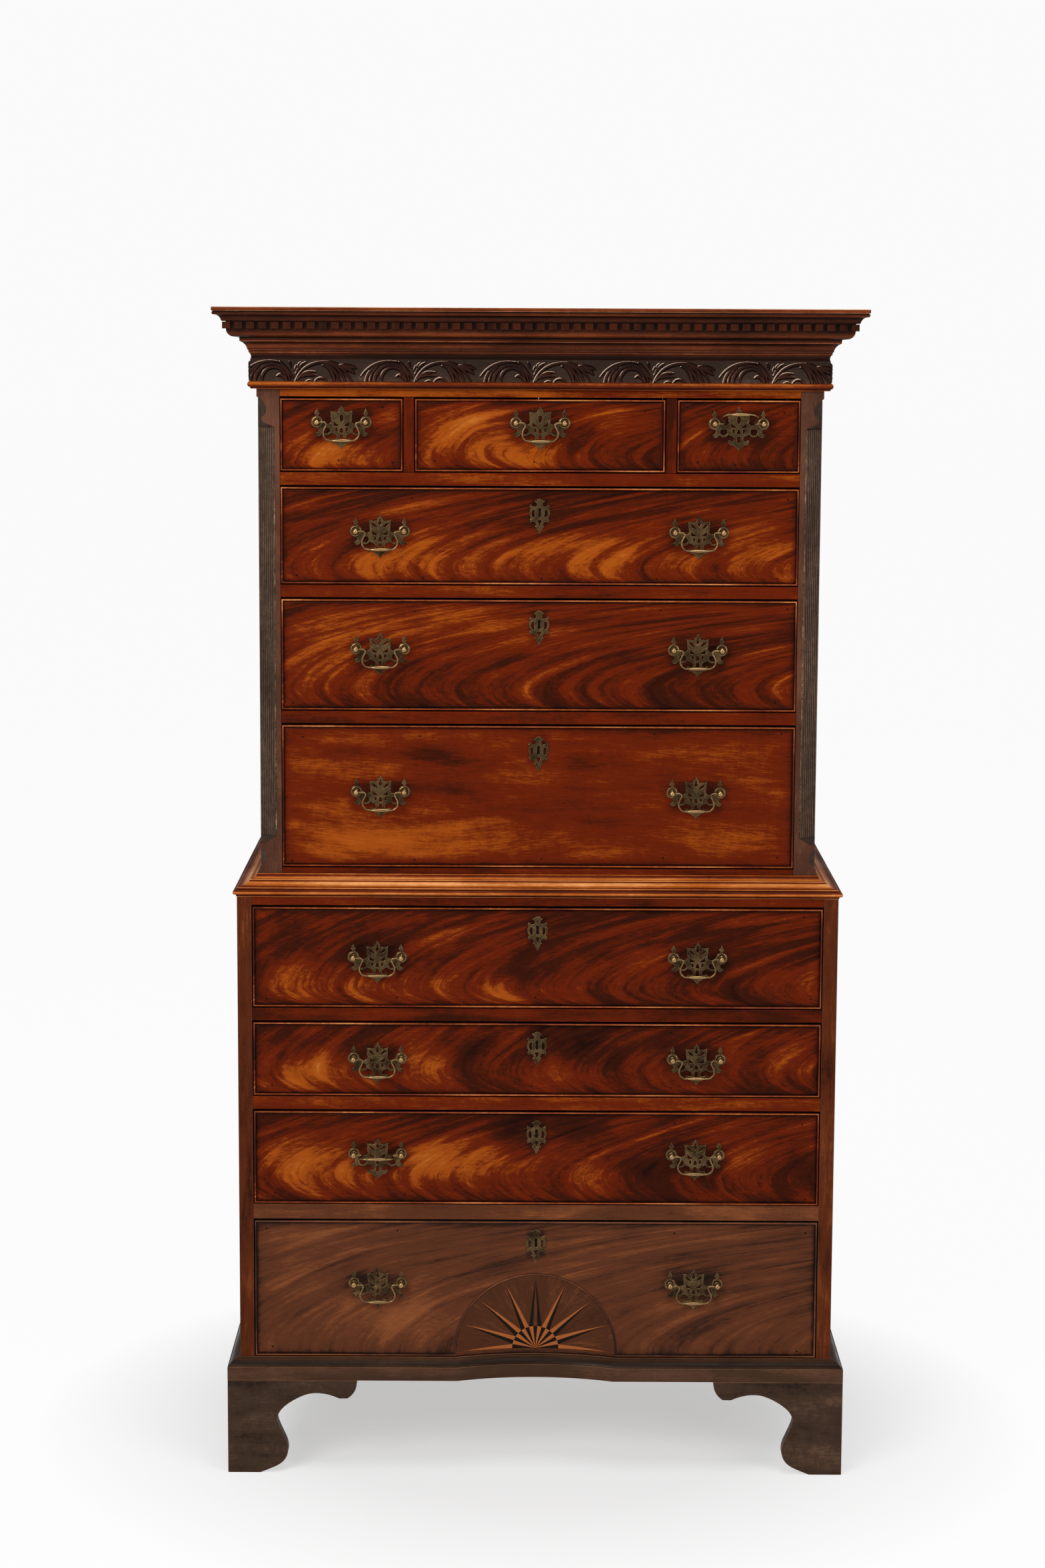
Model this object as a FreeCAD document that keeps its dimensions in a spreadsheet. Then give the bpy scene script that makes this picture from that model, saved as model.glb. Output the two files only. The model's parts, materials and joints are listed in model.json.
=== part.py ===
"""Chest on chest (tallboy) in mahogany, with drawer linings in oak.

Two carcasses stand one on the other.  The lower one has four long drawers, a plinth and four
bracket feet; the bottom drawer has a shallow arched recess at its middle, which the plinth follows
in plan.  The upper one has three short and three long drawers between canted and reeded corners,
and carries a frieze and a dentil cornice.  Every drawer has pierced brass plates with swinging
bails, and the long drawers have locks.

Frame: +Z up, the front faces -Y, origin on the floor under the middle of the bounding box.
Lengths are millimetres.  Every driving size is a cell of the spreadsheet.
"""
import FreeCAD, Part
import math
import os
import re
from collections import namedtuple

import Sketcher
from FreeCAD import Placement, Rotation, Vector

# --------------------------------------------------------------------------------------------
# Driving sizes
# --------------------------------------------------------------------------------------------

SIZES = [
    # the lower carcass
    ("lower_width", 956.0, "across the lower sides"),
    ("lower_depth", 530.0, "drawer face to the back of the case"),
    ("lower_side", 23.0, "thickness of the lower sides"),
    ("foot_height", 155.0, "floor to the underside of the plinth"),
    ("plinth_out", 19.5, "plinth and feet in front of the case"),
    ("plinth_fascia", 22.3, "flat of the plinth"),
    ("plinth_mould", 12.2, "height of the moulding on the plinth"),
    ("waist_height", 945.3, "top of the lower carcass"),
    # the upper carcass
    ("setback", 34.0, "upper face behind the lower face"),
    ("upper_side", 19.0, "thickness of the upper sides"),
    ("cant", 28.0, "width and depth of the canted corner"),
    ("corner_wide", 35.8, "corner post, side to drawer"),
    ("waist_mould", 32.7, "height of the waist moulding"),
    ("frieze_base", 1757.4, "underside of the frieze"),
    ("frieze_height", 34.6, "height of the frieze"),
    ("frieze_out", 8.3, "frieze in front of the case"),
    ("total_height", 1872.0, "floor to the top of the cornice"),
    ("case_top", 1800.0, "top of the upper carcass"),
    ("top_rail_base", 1733.4, "underside of the top rail"),
    # fronts: height of the lower edge above the floor, then the height of the front
    ("short_base", 1617.7, "short drawers"),
    ("short_high", 113.2, "short drawers"),
    ("upper_one_base", 1440.7, "first long drawer, upper case"),
    ("upper_one_high", 152.0, "first long drawer, upper case"),
    ("upper_two_base", 1240.7, "second long drawer, upper case"),
    ("upper_two_high", 175.8, "second long drawer, upper case"),
    ("upper_three_base", 989.0, "third long drawer, upper case"),
    ("upper_three_high", 227.2, "third long drawer, upper case"),
    ("lower_one_base", 767.6, "first drawer, lower case"),
    ("lower_one_high", 161.6, "first drawer, lower case"),
    ("lower_two_base", 623.2, "second drawer, lower case"),
    ("lower_two_high", 118.9, "second drawer, lower case"),
    ("lower_three_base", 445.2, "third drawer, lower case"),
    ("lower_three_high", 151.8, "third drawer, lower case"),
    ("lower_four_base", 191.0, "bottom drawer"),
    ("lower_four_high", 225.4, "bottom drawer"),
    # widths of the fronts
    ("upper_front", 814.4, "long drawers, upper case"),
    ("lower_front", 906.8, "drawers, lower case"),
    ("divider", 16.8, "upright between short drawers"),
    ("divider_place", 205.7, "middle of each upright from the centre"),
    # how a drawer is made
    ("gap_below", 1.5, "front above the rail"),
    ("gap_above", 2.5, "front below the rail"),
    ("front_thick", 22.0, "drawer front"),
    ("niche_front_thick", 30.0, "front of the bottom drawer"),
    ("bead_wide", 3.2, "cockbead, on the face"),
    ("bead_proud", 1.8, "cockbead in front of the drawer"),
    ("lining", 10.0, "drawer sides and back"),
    ("bottom_thick", 8.0, "drawer bottom"),
    ("bottom_up", 8.0, "drawer bottom above the front's edge"),
    ("muntin", 40.0, "strip between the drawer bottoms"),
    ("upper_drawer_deep", 466.0, "drawers, upper case"),
    ("lower_drawer_deep", 500.0, "drawers, lower case"),
    # rails and boards
    ("rail_deep", 60.0, "front rails, front to back"),
    ("dustboard", 12.0, "boards behind the rails"),
    ("back_board", 12.0, "boards of the backs"),
    ("stop_high", 5.0, "drawer stops"),
    # the arched recess
    ("niche_half", 128.7, "half the span of the recess"),
    ("niche_deep", 22.0, "depth of the recess at its foot"),
    ("niche_rise", 7.0, "centre of the arch above the drawer's edge"),
    # brasses
    ("post_spacing", 76.2, "between the posts of a handle"),
    ("plate_thick", 1.6, "back plates and escutcheons"),
    ("pivot_out", 14.0, "bail's axis in front of the drawer"),
    ("ball_radius", 5.3, "head of a post"),
    ("stem_radius", 2.5, "shank of a post"),
    ("wire_radius", 1.5, "bail, away from its grip"),
    ("grip_radius", 2.7, "bail, middle of its grip"),
    ("bail_drop", 28.6, "bail's axis to the middle of the grip"),
    ("pin_clearance", 0.06, "round the bail's pins"),
    ("raised_angle", 122.0, "short right bail, as it is left"),
    ("level_angle", 92.0, "third lower left bail, as it is left"),
    # locks
    ("lock_wide", 54.0, "lock case"),
    ("lock_high", 46.0, "lock case"),
    ("lock_thick", 10.0, "lock case"),
    ("bolt_wide", 20.0, "lock bolt"),
    ("bolt_thick", 5.0, "lock bolt"),
    ("bolt_high", 16.0, "lock bolt"),
    ("bolt_throw", 8.0, "travel of the bolt"),
    ("bolt_clearance", 0.3, "round the bolt"),
]

doc = FreeCAD.newDocument("ChestOnChest")
sheet = doc.addObject("Spreadsheet::Sheet", "Sizes")
for row, (alias, size, note) in enumerate(SIZES, start=1):
    sheet.set("A%d" % row, note)
    sheet.set("B%d" % row, str(size))
    sheet.setAlias("B%d" % row, alias)
doc.recompute()
ALIASES = {alias for alias, size, note in SIZES}

# Planes that many pieces share, as expressions of the cells.
BAIL_REACH = "(pivot_out + bail_drop + grip_radius)"
LOW_FRONT = "((%s - lower_depth) / 2)" % BAIL_REACH
BACK = "(%s + lower_depth)" % LOW_FRONT
UP_FRONT = "(%s + setback)" % LOW_FRONT
UPPER_WIDTH = "(lower_width - 2 * setback)"
UPPER_DEPTH = "(lower_depth - setback)"
PLINTH_TOP = "(foot_height + plinth_fascia + plinth_mould)"
POST_INNER = "(%s / 2 - corner_wide)" % UPPER_WIDTH
UPPER_INNER = "(%s / 2 - upper_side)" % UPPER_WIDTH
LOWER_INNER = "(lower_width / 2 - lower_side)"
NICHE_RADIUS = "((niche_half ^ 2 + niche_deep ^ 2) / (2 * niche_deep))"


# --------------------------------------------------------------------------------------------
# Helpers
# --------------------------------------------------------------------------------------------

def ref(text):
    """The expression with each alias written as a reference to the spreadsheet."""
    return re.sub(r"[a-z_]+", lambda word: "Sizes." + word.group() if word.group() in ALIASES
                  else word.group(), str(text))


def number(text):
    """The present value of an expression."""
    return float(sheet.evalExpression(ref(text)))


def bind(thing, **expressions):
    """Bind properties to expressions; a double underscore stands for the dot of a path."""
    for name, text in expressions.items():
        thing.setExpression(name.replace("__", "."), ref(text))


def place(thing, x="0", y="0", z="0"):
    """Bind the position of an object."""
    bind(thing, Placement__Base__x=x, Placement__Base__y=y, Placement__Base__z=z)
    return thing


def board(name, x, y, z):
    """A rectangular board between the low and high ends given along each axis."""
    box = doc.addObject("Part::Box", name)
    for side, (low, high) in zip(("Length", "Width", "Height"), (x, y, z)):
        box.setExpression(side, ref("(%s) - (%s)" % (high, low)))
    return place(box, x[0], y[0], z[0])


def mirrored_pair(name, x, y, z):
    """The same board on the right, as given, and on the left."""
    low, high = x
    return [board(name + "_right", x, y, z),
            board(name + "_left", ("-(%s)" % high, "-(%s)" % low), y, z)]


def rod(name, radius, length, x, y, z, axis):
    """A cylinder from the given point along an axis."""
    cylinder = doc.addObject("Part::Cylinder", name)
    bind(cylinder, Radius=radius, Height=length)
    cylinder.Placement = Placement(Vector(), Rotation(Vector(0, 0, 1), axis))
    return place(cylinder, x, y, z)


def ball(name, radius, y="0"):
    """A sphere on the Y axis."""
    sphere = doc.addObject("Part::Sphere", name)
    bind(sphere, Radius=radius)
    return place(sphere, y=y)


def boolean(kind, name, base, tool):
    """A Part::Cut or Part::Common of two objects."""
    result = doc.addObject("Part::" + kind, name)
    result.Base = base
    result.Tool = tool
    return result


def cut(name, base, tools):
    """An object less one or more tools."""
    if len(tools) == 1:
        return boolean("Cut", name, base, tools[0])
    return boolean("Cut", name, base, group(name + "_tools", tools))


def fuse(name, pieces):
    """Several shapes as one solid."""
    result = doc.addObject("Part::MultiFuse", name)
    result.Shapes = pieces
    return result


def group(name, pieces):
    """Separate solids kept side by side."""
    result = doc.addObject("Part::Compound", name)
    result.Links = pieces
    return result


def mirror(name, source, normal=Vector(1, 0, 0)):
    """The mirror image of an object in the plane through the origin."""
    result = doc.addObject("Part::Mirroring", name)
    result.Source = source
    result.Normal = normal
    return result


def copy(name, master, x="0", y="0", z="0", turn=None):
    """Another of the same piece, at a place of its own."""
    link = doc.addObject("App::Link", name)
    link.LinkedObject = master
    link.LinkTransform = True
    if turn is not None:
        link.Placement = Placement(Vector(), turn)
    return place(link, x, y, z)


def extrude(name, profile, direction, forward, backward="0"):
    """A profile pushed along a direction."""
    result = doc.addObject("Part::Extrusion", name)
    result.Base = profile
    result.DirMode = "Custom"
    result.Dir = direction
    result.Solid = True
    bind(result, LengthFwd=forward, LengthRev=backward)
    return result


def arc_between(start, end, radius):
    """The short arc from start to end; its centre is to the left when the radius is positive."""
    chord = end - start
    middle = (start + end) / 2
    left = Vector(-chord.y, chord.x, 0).normalize()
    offset = math.sqrt(max(radius ** 2 - (chord.Length / 2) ** 2, 0.0))
    centre = middle + left * math.copysign(offset, radius)
    first = math.atan2(start.y - centre.y, start.x - centre.x)
    last = math.atan2(end.y - centre.y, end.x - centre.x)
    if radius < 0:
        first, last = last, first
    return Part.ArcOfCircle(Part.Circle(centre, Vector(0, 0, 1), abs(radius)), first, last)


def bound_sketch(sketch, outline):
    """Draw a closed outline whose corners, and the radii of whose arcs, follow the cells.

    Each entry is the (x, y) of a corner, and a third item makes the side that leaves that
    corner an arc of that radius, with its centre on the left if positive and right if negative.
    """
    corners = [Vector(number(entry[0]), number(entry[1]), 0) for entry in outline]
    ends = []
    for index, entry in enumerate(outline):
        start, end = corners[index], corners[(index + 1) % len(outline)]
        if len(entry) == 2:
            sketch.addGeometry(Part.LineSegment(start, end))
            ends.append((1, 2))
        else:
            radius = number(entry[2])
            sketch.addGeometry(arc_between(start, end, radius))
            ends.append((1, 2) if radius > 0 else (2, 1))
            size = sketch.addConstraint(Sketcher.Constraint("Radius", index, abs(radius)))
            sketch.setExpression("Constraints[%d]" % size, ref("abs(%s)" % entry[2]))
    for index, entry in enumerate(outline):
        before = index - 1 if index else len(outline) - 1
        sketch.addConstraint(
            Sketcher.Constraint("Coincident", before, ends[before][1], index, ends[index][0]))
        for kind, text, value in (("DistanceX", entry[0], corners[index].x),
                                  ("DistanceY", entry[1], corners[index].y)):
            size = sketch.addConstraint(
                Sketcher.Constraint(kind, -1, 1, index, ends[index][0], value))
            sketch.setExpression("Constraints[%d]" % size, ref(text))


def flat_outline(name, outline, turn=None, x="0", y="0", z="0"):
    """A bound outline of its own, lying in the XY plane turned as given."""
    sketch = doc.addObject("Sketcher::SketchObject", name)
    bound_sketch(sketch, outline)
    if turn is not None:
        sketch.Placement = Placement(Vector(), turn)
    return place(sketch, x, y, z)


def draw_strokes(sketch, strokes, flip=False):
    """Draw strokes end to end: two points are a line and more are a smooth curve."""
    for stroke in strokes:
        points = [Vector(-px if flip else px, py, 0) for px, py in stroke]
        if len(points) == 2:
            sketch.addGeometry(Part.LineSegment(points[0], points[1]))
        else:
            curve = Part.BSplineCurve()
            curve.interpolate(points)
            sketch.addGeometry(curve)


def pierced_plate(name, half_outline, half_holes, whole_holes, thickness):
    """A flat plate, the same left and right, standing in front of the XZ plane."""
    body = doc.addObject("PartDesign::Body", name)
    sketch = body.newObject("Sketcher::SketchObject", name + "_outline")
    attach(sketch, body, "XZ_Plane")
    for strokes in half_outline + half_holes:
        draw_strokes(sketch, strokes)
        draw_strokes(sketch, strokes, flip=True)
    for strokes in whole_holes:
        draw_strokes(sketch, strokes)
        draw_strokes(sketch, strokes, flip=True)
    pad = body.newObject("PartDesign::Pad", name + "_pad")
    pad.Profile = sketch
    bind(pad, Length=thickness)
    return body


def attach(sketch, body, role):
    """Lay a sketch on one of its own body's origin planes."""
    plane = [feature for feature in body.Origin.OriginFeatures if feature.Role == role][0]
    sketch.AttachmentSupport = [(plane, "")]
    sketch.MapMode = "FlatFace"


def rounded_strip(name, x, y, z, edges, radius):
    """A board with some of its edges rounded; edges are counted as Part::Box counts them."""
    rounded = doc.addObject("Part::Fillet", name)
    rounded.Base = board(name + "_blank", x, y, z)
    rounded.Edges = [(edge, radius, radius) for edge in edges]
    return rounded


# --------------------------------------------------------------------------------------------
# Mitred mouldings: a front run and two returns, all of one section
# --------------------------------------------------------------------------------------------

# A section is drawn with its first coordinate outwards from the case and its second upwards.
FRONT_SECTION = Rotation(Vector(0, -1, 0), Vector(0, 0, 1), Vector(-1, 0, 0))
LEFT_SECTION = Rotation(Vector(-1, 0, 0), Vector(0, 0, 1), Vector(0, 1, 0))
MITRE_OUT = "90"
MITRE_IN = "60"


def mitre_blocks(name, half_width, face, bottom, top):
    """Two prisms that end the front run and the left return on the mitre plane."""
    far, near = "-(%s) - %s" % (half_width, MITRE_OUT), "-(%s) + %s" % (half_width, MITRE_IN)
    ahead, behind = "%s - %s" % (face, MITRE_OUT), "%s + %s" % (face, MITRE_IN)
    tall = "(%s) - (%s)" % (top, bottom)
    front = [(far, ahead), ("-(%s)" % far, ahead), ("-(%s)" % near, behind), (near, behind)]
    left = [(far, ahead), (near, behind), (near, BACK), (far, BACK)]
    return [extrude(name + "_" + side, flat_outline(name + "_plan_" + side, plan, z=bottom),
                    Vector(0, 0, 1), tall)
            for side, plan in (("front", front), ("left", left))]


def mitred_moulding(name, outline, half_width, face, base, blocks):
    """The front run and both returns of a moulding, as three solids that meet at mitres."""
    front_block, left_block = blocks
    front = flat_outline(name + "_front_section", outline, FRONT_SECTION, y=face, z=base)
    left = flat_outline(name + "_left_section", outline, LEFT_SECTION,
                        x="-(%s)" % half_width, y=BACK, z=base)
    run = "%s + %s" % (half_width, MITRE_OUT)
    front_run = extrude(name + "_front_run", front, Vector(1, 0, 0), run, run)
    left_run = extrude(name + "_left_run", left, Vector(0, -1, 0),
                       "%s - (%s) + %s" % (BACK, face, MITRE_OUT))
    front_piece = boolean("Common", name + "_front", front_run, front_block)
    left_piece = boolean("Common", name + "_left", left_run, left_block)
    return [front_piece, left_piece, mirror(name + "_right", left_piece)]


# --------------------------------------------------------------------------------------------
# The drawers
# --------------------------------------------------------------------------------------------

Drawer = namedtuple("Drawer", "name case size width centre handles post_rise key_drop")

# Handles: the places of the handles from the drawer's centre; the axis of the posts is
# post_rise above the middle of the front, and the keyhole key_drop below its upper edge.
SHORT_SIDE = "(upper_front / 2 - divider_place - divider / 2 - 1)"
SHORT_MIDDLE = "(2 * divider_place - divider - 2.4)"
SHORT_CENTRE = "(upper_front - (%s)) / 2" % SHORT_SIDE
DRAWERS = [
    Drawer("short_drawer_left", "upper", "short", SHORT_SIDE, "-" + SHORT_CENTRE,
           {"bail": 0.0}, 20.0, None),
    Drawer("short_drawer_centre", "upper", "short", SHORT_MIDDLE, "0", {"bail": 0.0}, 20.0, None),
    Drawer("short_drawer_right", "upper", "short", SHORT_SIDE, SHORT_CENTRE,
           {"bail": 0.0}, 20.0, None),
    Drawer("upper_drawer_one", "upper", "upper_one", "upper_front", "0",
           {"bail_left": -251.0, "bail_right": 251.0}, 7.5, 39.0),
    Drawer("upper_drawer_two", "upper", "upper_two", "upper_front", "0",
           {"bail_left": -251.0, "bail_right": 251.0}, 9.7, 39.0),
    Drawer("upper_drawer_three", "upper", "upper_three", "upper_front", "0",
           {"bail_left": -251.0, "bail_right": 251.0}, 7.8, 39.0),
    Drawer("lower_drawer_one", "lower", "lower_one", "lower_front", "0",
           {"bail_left": -255.0, "bail_right": 255.0}, 0.8, 35.6),
    Drawer("lower_drawer_two", "lower", "lower_two", "lower_front", "0",
           {"bail_left": -255.0, "bail_right": 255.0}, 1.8, 35.6),
    Drawer("lower_drawer_three", "lower", "lower_three", "lower_front", "0",
           {"bail_left": -255.0, "bail_right": 255.0}, 6.5, 35.6),
    Drawer("lower_drawer_four", "lower", "lower_four", "lower_front", "0",
           {"bail_left": -255.0, "bail_right": 255.0}, 9.6, 35.6),
]
LEFT_UP = {"short_drawer_right_bail": "raised_angle",
           "lower_drawer_three_bail_left": "level_angle"}


def drawer_place(drawer):
    """Where the lower edge of a drawer's face is, at its middle."""
    face = UP_FRONT if drawer.case == "upper" else LOW_FRONT
    return {"x": drawer.centre, "y": face, "z": drawer.size + "_base"}


def post_height(drawer):
    """The axis of the posts above the lower edge of the front."""
    return "(%s_high / 2 + %s)" % (drawer.size, drawer.post_rise)


def front_thickness(drawer):
    """The recess in the bottom drawer needs a thicker front."""
    return "niche_front_thick" if drawer.size == "lower_four" else "front_thick"


def recess_ball():
    """The shallow sphere that hollows the bottom drawer, in that drawer's own frame."""
    sphere = doc.addObject("Part::Sphere", "recess_sphere")
    bind(sphere, Radius=NICHE_RADIUS)
    return place(sphere, y="niche_deep - " + NICHE_RADIUS, z="niche_rise")


def drawer_front(drawer):
    """The front board with its holes for posts, key and lock, and the cockbeads round it."""
    name, thick = drawer.name, front_thickness(drawer)
    half, tall = "(%s) / 2" % drawer.width, drawer.size + "_high"
    inner, outer = "%s - bead_wide" % half, half
    panel = board(name + "_panel", ("-(%s)" % inner, inner), ("0", thick),
                  ("bead_wide", "%s - bead_wide" % tall))
    tools = []
    for label, across in drawer.handles.items():
        for side, sign in (("a", "-"), ("b", "+")):
            tools.append(rod("%s_%s_hole_%s" % (name, label, side), "stem_radius + 0.2",
                             "front_thick + 20", "%s %s post_spacing / 2" % (across, sign),
                             "-2", post_height(drawer), Vector(0, 1, 0)))
    if drawer.key_drop:
        key = "(%s - %s)" % (tall, drawer.key_drop)
        tools.append(board(name + "_keyhole", ("-1.6", "1.6"), ("-2", thick),
                           ("%s - 6" % key, "%s + 6" % key)))
        tools.append(board(name + "_lock_seat", ("-lock_wide / 2", "lock_wide / 2"),
                           ("%s - lock_thick" % thick, "%s + 1" % thick),
                           ("%s - lock_high" % tall, "%s - bead_wide + 1" % tall)))
    beads = [
        rounded_strip(name + "_bead_low", ("-(%s)" % outer, outer), ("-bead_proud", thick),
                      ("0", "bead_wide"), (9, 10), 1.4),
        rounded_strip(name + "_bead_right", (inner, outer), ("-bead_proud", thick),
                      ("bead_wide", "%s - bead_wide" % tall), (1, 5), 1.4),
        rounded_strip(name + "_bead_left", ("-(%s)" % outer, "-(%s)" % inner),
                      ("-bead_proud", thick), ("bead_wide", "%s - bead_wide" % tall), (1, 5), 1.4),
    ]
    bead_top = rounded_strip(name + "_bead_top", ("-(%s)" % outer, outer), ("-bead_proud", thick),
                             ("%s - bead_wide" % tall, tall), (9, 10), 1.4)
    if drawer.key_drop:
        notch = board(name + "_lock_notch", ("-lock_wide / 2", "lock_wide / 2"),
                      ("%s - lock_thick" % thick, "%s + 1" % thick),
                      ("%s - bead_wide - 1" % tall, "%s + 1" % tall))
        bead_top = cut(name + "_bead_top_notched", bead_top, [notch])
    if drawer.size == "lower_four":
        sphere = recess_ball()
        tools.append(sphere)
        beads[0] = cut(name + "_bead_low_hollowed", beads[0], [sphere])
        beads.append(arch_bead())
    return [cut(name + "_front", panel, tools), bead_top] + beads


def arch_bead():
    """The half-round bead on the edge of the recess, down to the cockbead of the drawer."""
    outer = rod("arch_outer", "niche_half + bead_wide", "bead_proud", "0", "-bead_proud",
                "niche_rise", Vector(0, 1, 0))
    inner = rod("arch_inner", "niche_half", "bead_proud + 2", "0", "-bead_proud - 1",
                "niche_rise", Vector(0, 1, 0))
    ring = cut("arch_ring", outer, [inner])
    above = board("arch_window", ("-niche_half * 2", "niche_half * 2"), ("-10", "10"),
                  ("bead_wide", "niche_half * 2"))
    return boolean("Common", "arch_bead", ring, above)


def drawer_box(drawer):
    """Sides, back, bottom boards, muntin and runner strips behind the front."""
    name, thick = drawer.name, front_thickness(drawer)
    deep = drawer.case + "_drawer_deep"
    tall = drawer.size + "_high"
    outside = "(%s) / 2 - 0.8" % drawer.width
    inside = outside + " - lining"
    bottom = ("bottom_up", "bottom_up + bottom_thick")
    pieces = mirrored_pair(name + "_side", (inside, outside), (thick, deep),
                           ("-gap_below", "%s - 8" % tall))
    pieces.append(board(name + "_back", ("-(%s)" % inside, inside), ("%s - lining" % deep, deep),
                        (bottom[1], "%s - 14" % tall)))
    pieces += mirrored_pair(name + "_runner", ("%s - 14" % inside, inside), (thick, deep),
                            ("-gap_below", "bottom_up"))
    if drawer.key_drop:
        pieces += mirrored_pair(name + "_bottom", ("muntin / 2", inside), (thick, deep), bottom)
        pieces.append(board(name + "_muntin", ("-muntin / 2", "muntin / 2"),
                            (thick, "%s - lining" % deep), (bottom[0] + " - 2", bottom[1] + " + 2")))
    else:
        pieces.append(board(name + "_bottom", ("-(%s)" % inside, inside), (thick, deep), bottom))
    return pieces


# --------------------------------------------------------------------------------------------
# Brasses
# --------------------------------------------------------------------------------------------

# Right half of the back plate, from the tip of its crown round to the tip of its pendant,
# with the middle between the posts as origin.  The end roundels are centred on the posts.
PLATE_OUTLINE = [
    [(0, 25.8), (1.9, 22.8)], [(1.9, 22.8), (4.9, 20.4)],
    [(4.9, 20.4), (4.5, 17.6), (6.4, 15.6), (8.8, 16.9)],
    [(8.8, 16.9), (10.6, 15.4)], [(10.6, 15.4), (12.4, 16.8)], [(12.4, 16.8), (14.4, 15.8)],
    [(14.4, 15.8), (17.6, 17.8)], [(17.6, 17.8), (16.4, 14.4)], [(16.4, 14.4), (17.3, 13.2)],
    [(17.3, 13.2), (16.2, 10.2)], [(16.2, 10.2), (17.0, 9.0)], [(17.0, 9.0), (15.9, 6.0)],
    [(15.9, 6.0), (16.6, 4.8)], [(16.6, 4.8), (15.8, 1.6)],
    [(15.8, 1.6), (17.6, -1.8), (21.6, -3.2), (26.0, -2.0), (28.8, 0.8)],
    [(28.8, 0.8), (30.1, 4.8), (32.6, 7.6), (35.9, 9.0)],
    [(35.9, 9.0), (36.3, 11.4)], [(36.3, 11.4), (33.9, 13.2)], [(33.9, 13.2), (35.8, 14.8)],
    [(35.8, 14.8), (35.2, 16.4)], [(35.2, 16.4), (37.0, 17.8)], [(37.0, 17.8), (37.2, 19.2)],
    [(37.2, 19.2), (38.1, 21.8)], [(38.1, 21.8), (39.0, 19.2)], [(39.0, 19.2), (39.2, 17.8)],
    [(39.2, 17.8), (41.0, 16.4)], [(41.0, 16.4), (40.4, 14.8)], [(40.4, 14.8), (42.3, 13.2)],
    [(42.3, 13.2), (39.9, 11.4)], [(39.9, 11.4), (40.3, 9.0)],
    [(40.3, 9.0), (44.7, 6.6), (47.2, 2.0), (47.0, -2.8), (43.9, -7.3), (39.0, -9.25)],
    [(39.0, -9.25), (36.0, -12.4), (37.2, -15.4), (41.2, -16.7)],
    [(41.2, -16.7), (40.2, -20.0), (36.4, -21.9), (32.4, -20.2), (30.6, -17.0)],
    [(30.6, -17.0), (27.9, -19.6), (23.6, -20.8), (19.3, -19.6), (16.4, -16.6)],
    [(16.4, -16.6), (12.2, -18.4)],
    [(12.2, -18.4), (8.6, -20.4), (6.9, -24.0), (8.6, -27.4), (11.6, -27.7), (13.4, -25.2)],
    [(13.4, -25.2), (16.2, -26.4), (16.0, -29.8), (13.2, -32.6), (8.6, -33.4)],
    [(8.6, -33.4), (7.2, -35.4)], [(7.2, -35.4), (4.6, -36.6), (2.2, -39.0), (0, -42.8)],
]
PLATE_TRIANGLE = [[(3.4, -5.4), (8.2, -2.4), (13.6, 2.4)], [(13.6, 2.4), (12.2, -1.6), (12.9, -5.2)],
                  [(12.9, -5.2), (8.2, -6.6), (3.4, -5.4)]]
PLATE_EYE = [[(6.4, -8.8), (9.0, -9.6), (9.7, -12.2), (8.6, -14.4), (6.0, -14.0)],
             [(6.0, -14.0), (6.4, -8.8)]]
PLATE_RING = [[(23.6, -11.6), (21.6, -8.2), (18.4, -10.4), (18.2, -14.4), (20.4, -17.2),
               (23.6, -18.2), (26.8, -17.2), (29.0, -14.4), (28.8, -10.4), (25.6, -8.2),
               (23.6, -11.6)]]
PLATE_LEAF = [[(3.2, 4.4), (8.4, 6.6), (12.8, 10.0), (13.2, 12.8)],
              [(13.2, 12.8), (10.4, 12.6), (6.4, 9.0), (3.2, 4.4)]]
PLATE_SPADE = [[(0, 19.6), (1.5, 18.0), (1.0, 16.0)], [(1.0, 16.0), (3.2, 12.6)],
               [(3.2, 12.6), (0, 8.2)]]
PLATE_SLOT = [[(0, 11.4), (2.4, 10.8)], [(2.4, 10.8), (1.5, 1.2), (0, -0.8)]]
PLATE_WINDOW = [[(0, -9.2), (1.6, -9.2)], [(1.6, -9.2), (3.4, -16.2)], [(3.4, -16.2), (0, -16.2)]]
PLATE_PENDANT = [[(0, -19.8), (2.4, -19.8)], [(2.4, -19.8), (3.2, -29.2)], [(3.2, -29.2), (0, -29.2)]]

# Right half of the escutcheon, with the keyhole's middle as origin.
KEY_OUTLINE = [
    [(0, 23.0), (1.6, 21.0)], [(1.6, 21.0), (3.4, 21.8)], [(3.4, 21.8), (4.6, 19.4)],
    [(4.6, 19.4), (8.2, 18.6)], [(8.2, 18.6), (6.6, 16.4)],
    [(6.6, 16.4), (4.3, 14.0), (4.8, 11.0), (8.0, 9.6), (12.0, 11.4), (15.4, 13.6)],
    [(15.4, 13.6), (14.2, 10.8)], [(14.2, 10.8), (16.4, 9.4)],
    [(16.4, 9.4), (14.4, 7.4), (15.8, 3.0), (15.6, -3.0), (13.2, -8.6)],
    [(13.2, -8.6), (15.8, -12.2)], [(15.8, -12.2), (13.6, -12.8)], [(13.6, -12.8), (15.2, -17.8)],
    [(15.2, -17.8), (12.4, -14.6), (9.2, -13.8), (6.6, -15.6), (5.2, -19.4)],
    [(5.2, -19.4), (7.6, -21.4)], [(7.6, -21.4), (4.6, -22.8)],
    [(4.6, -22.8), (3.6, -26.6), (2.0, -30.0), (0, -33.6)],
]
KEY_WINDOW = [[(8.0, 5.0), (11.6, 4.6)], [(11.6, 4.6), (12.6, 0.0), (12.2, -4.4), (10.6, -7.4)],
              [(10.6, -7.4), (7.6, -7.2)], [(7.6, -7.2), (8.0, 5.0)]]
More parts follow.
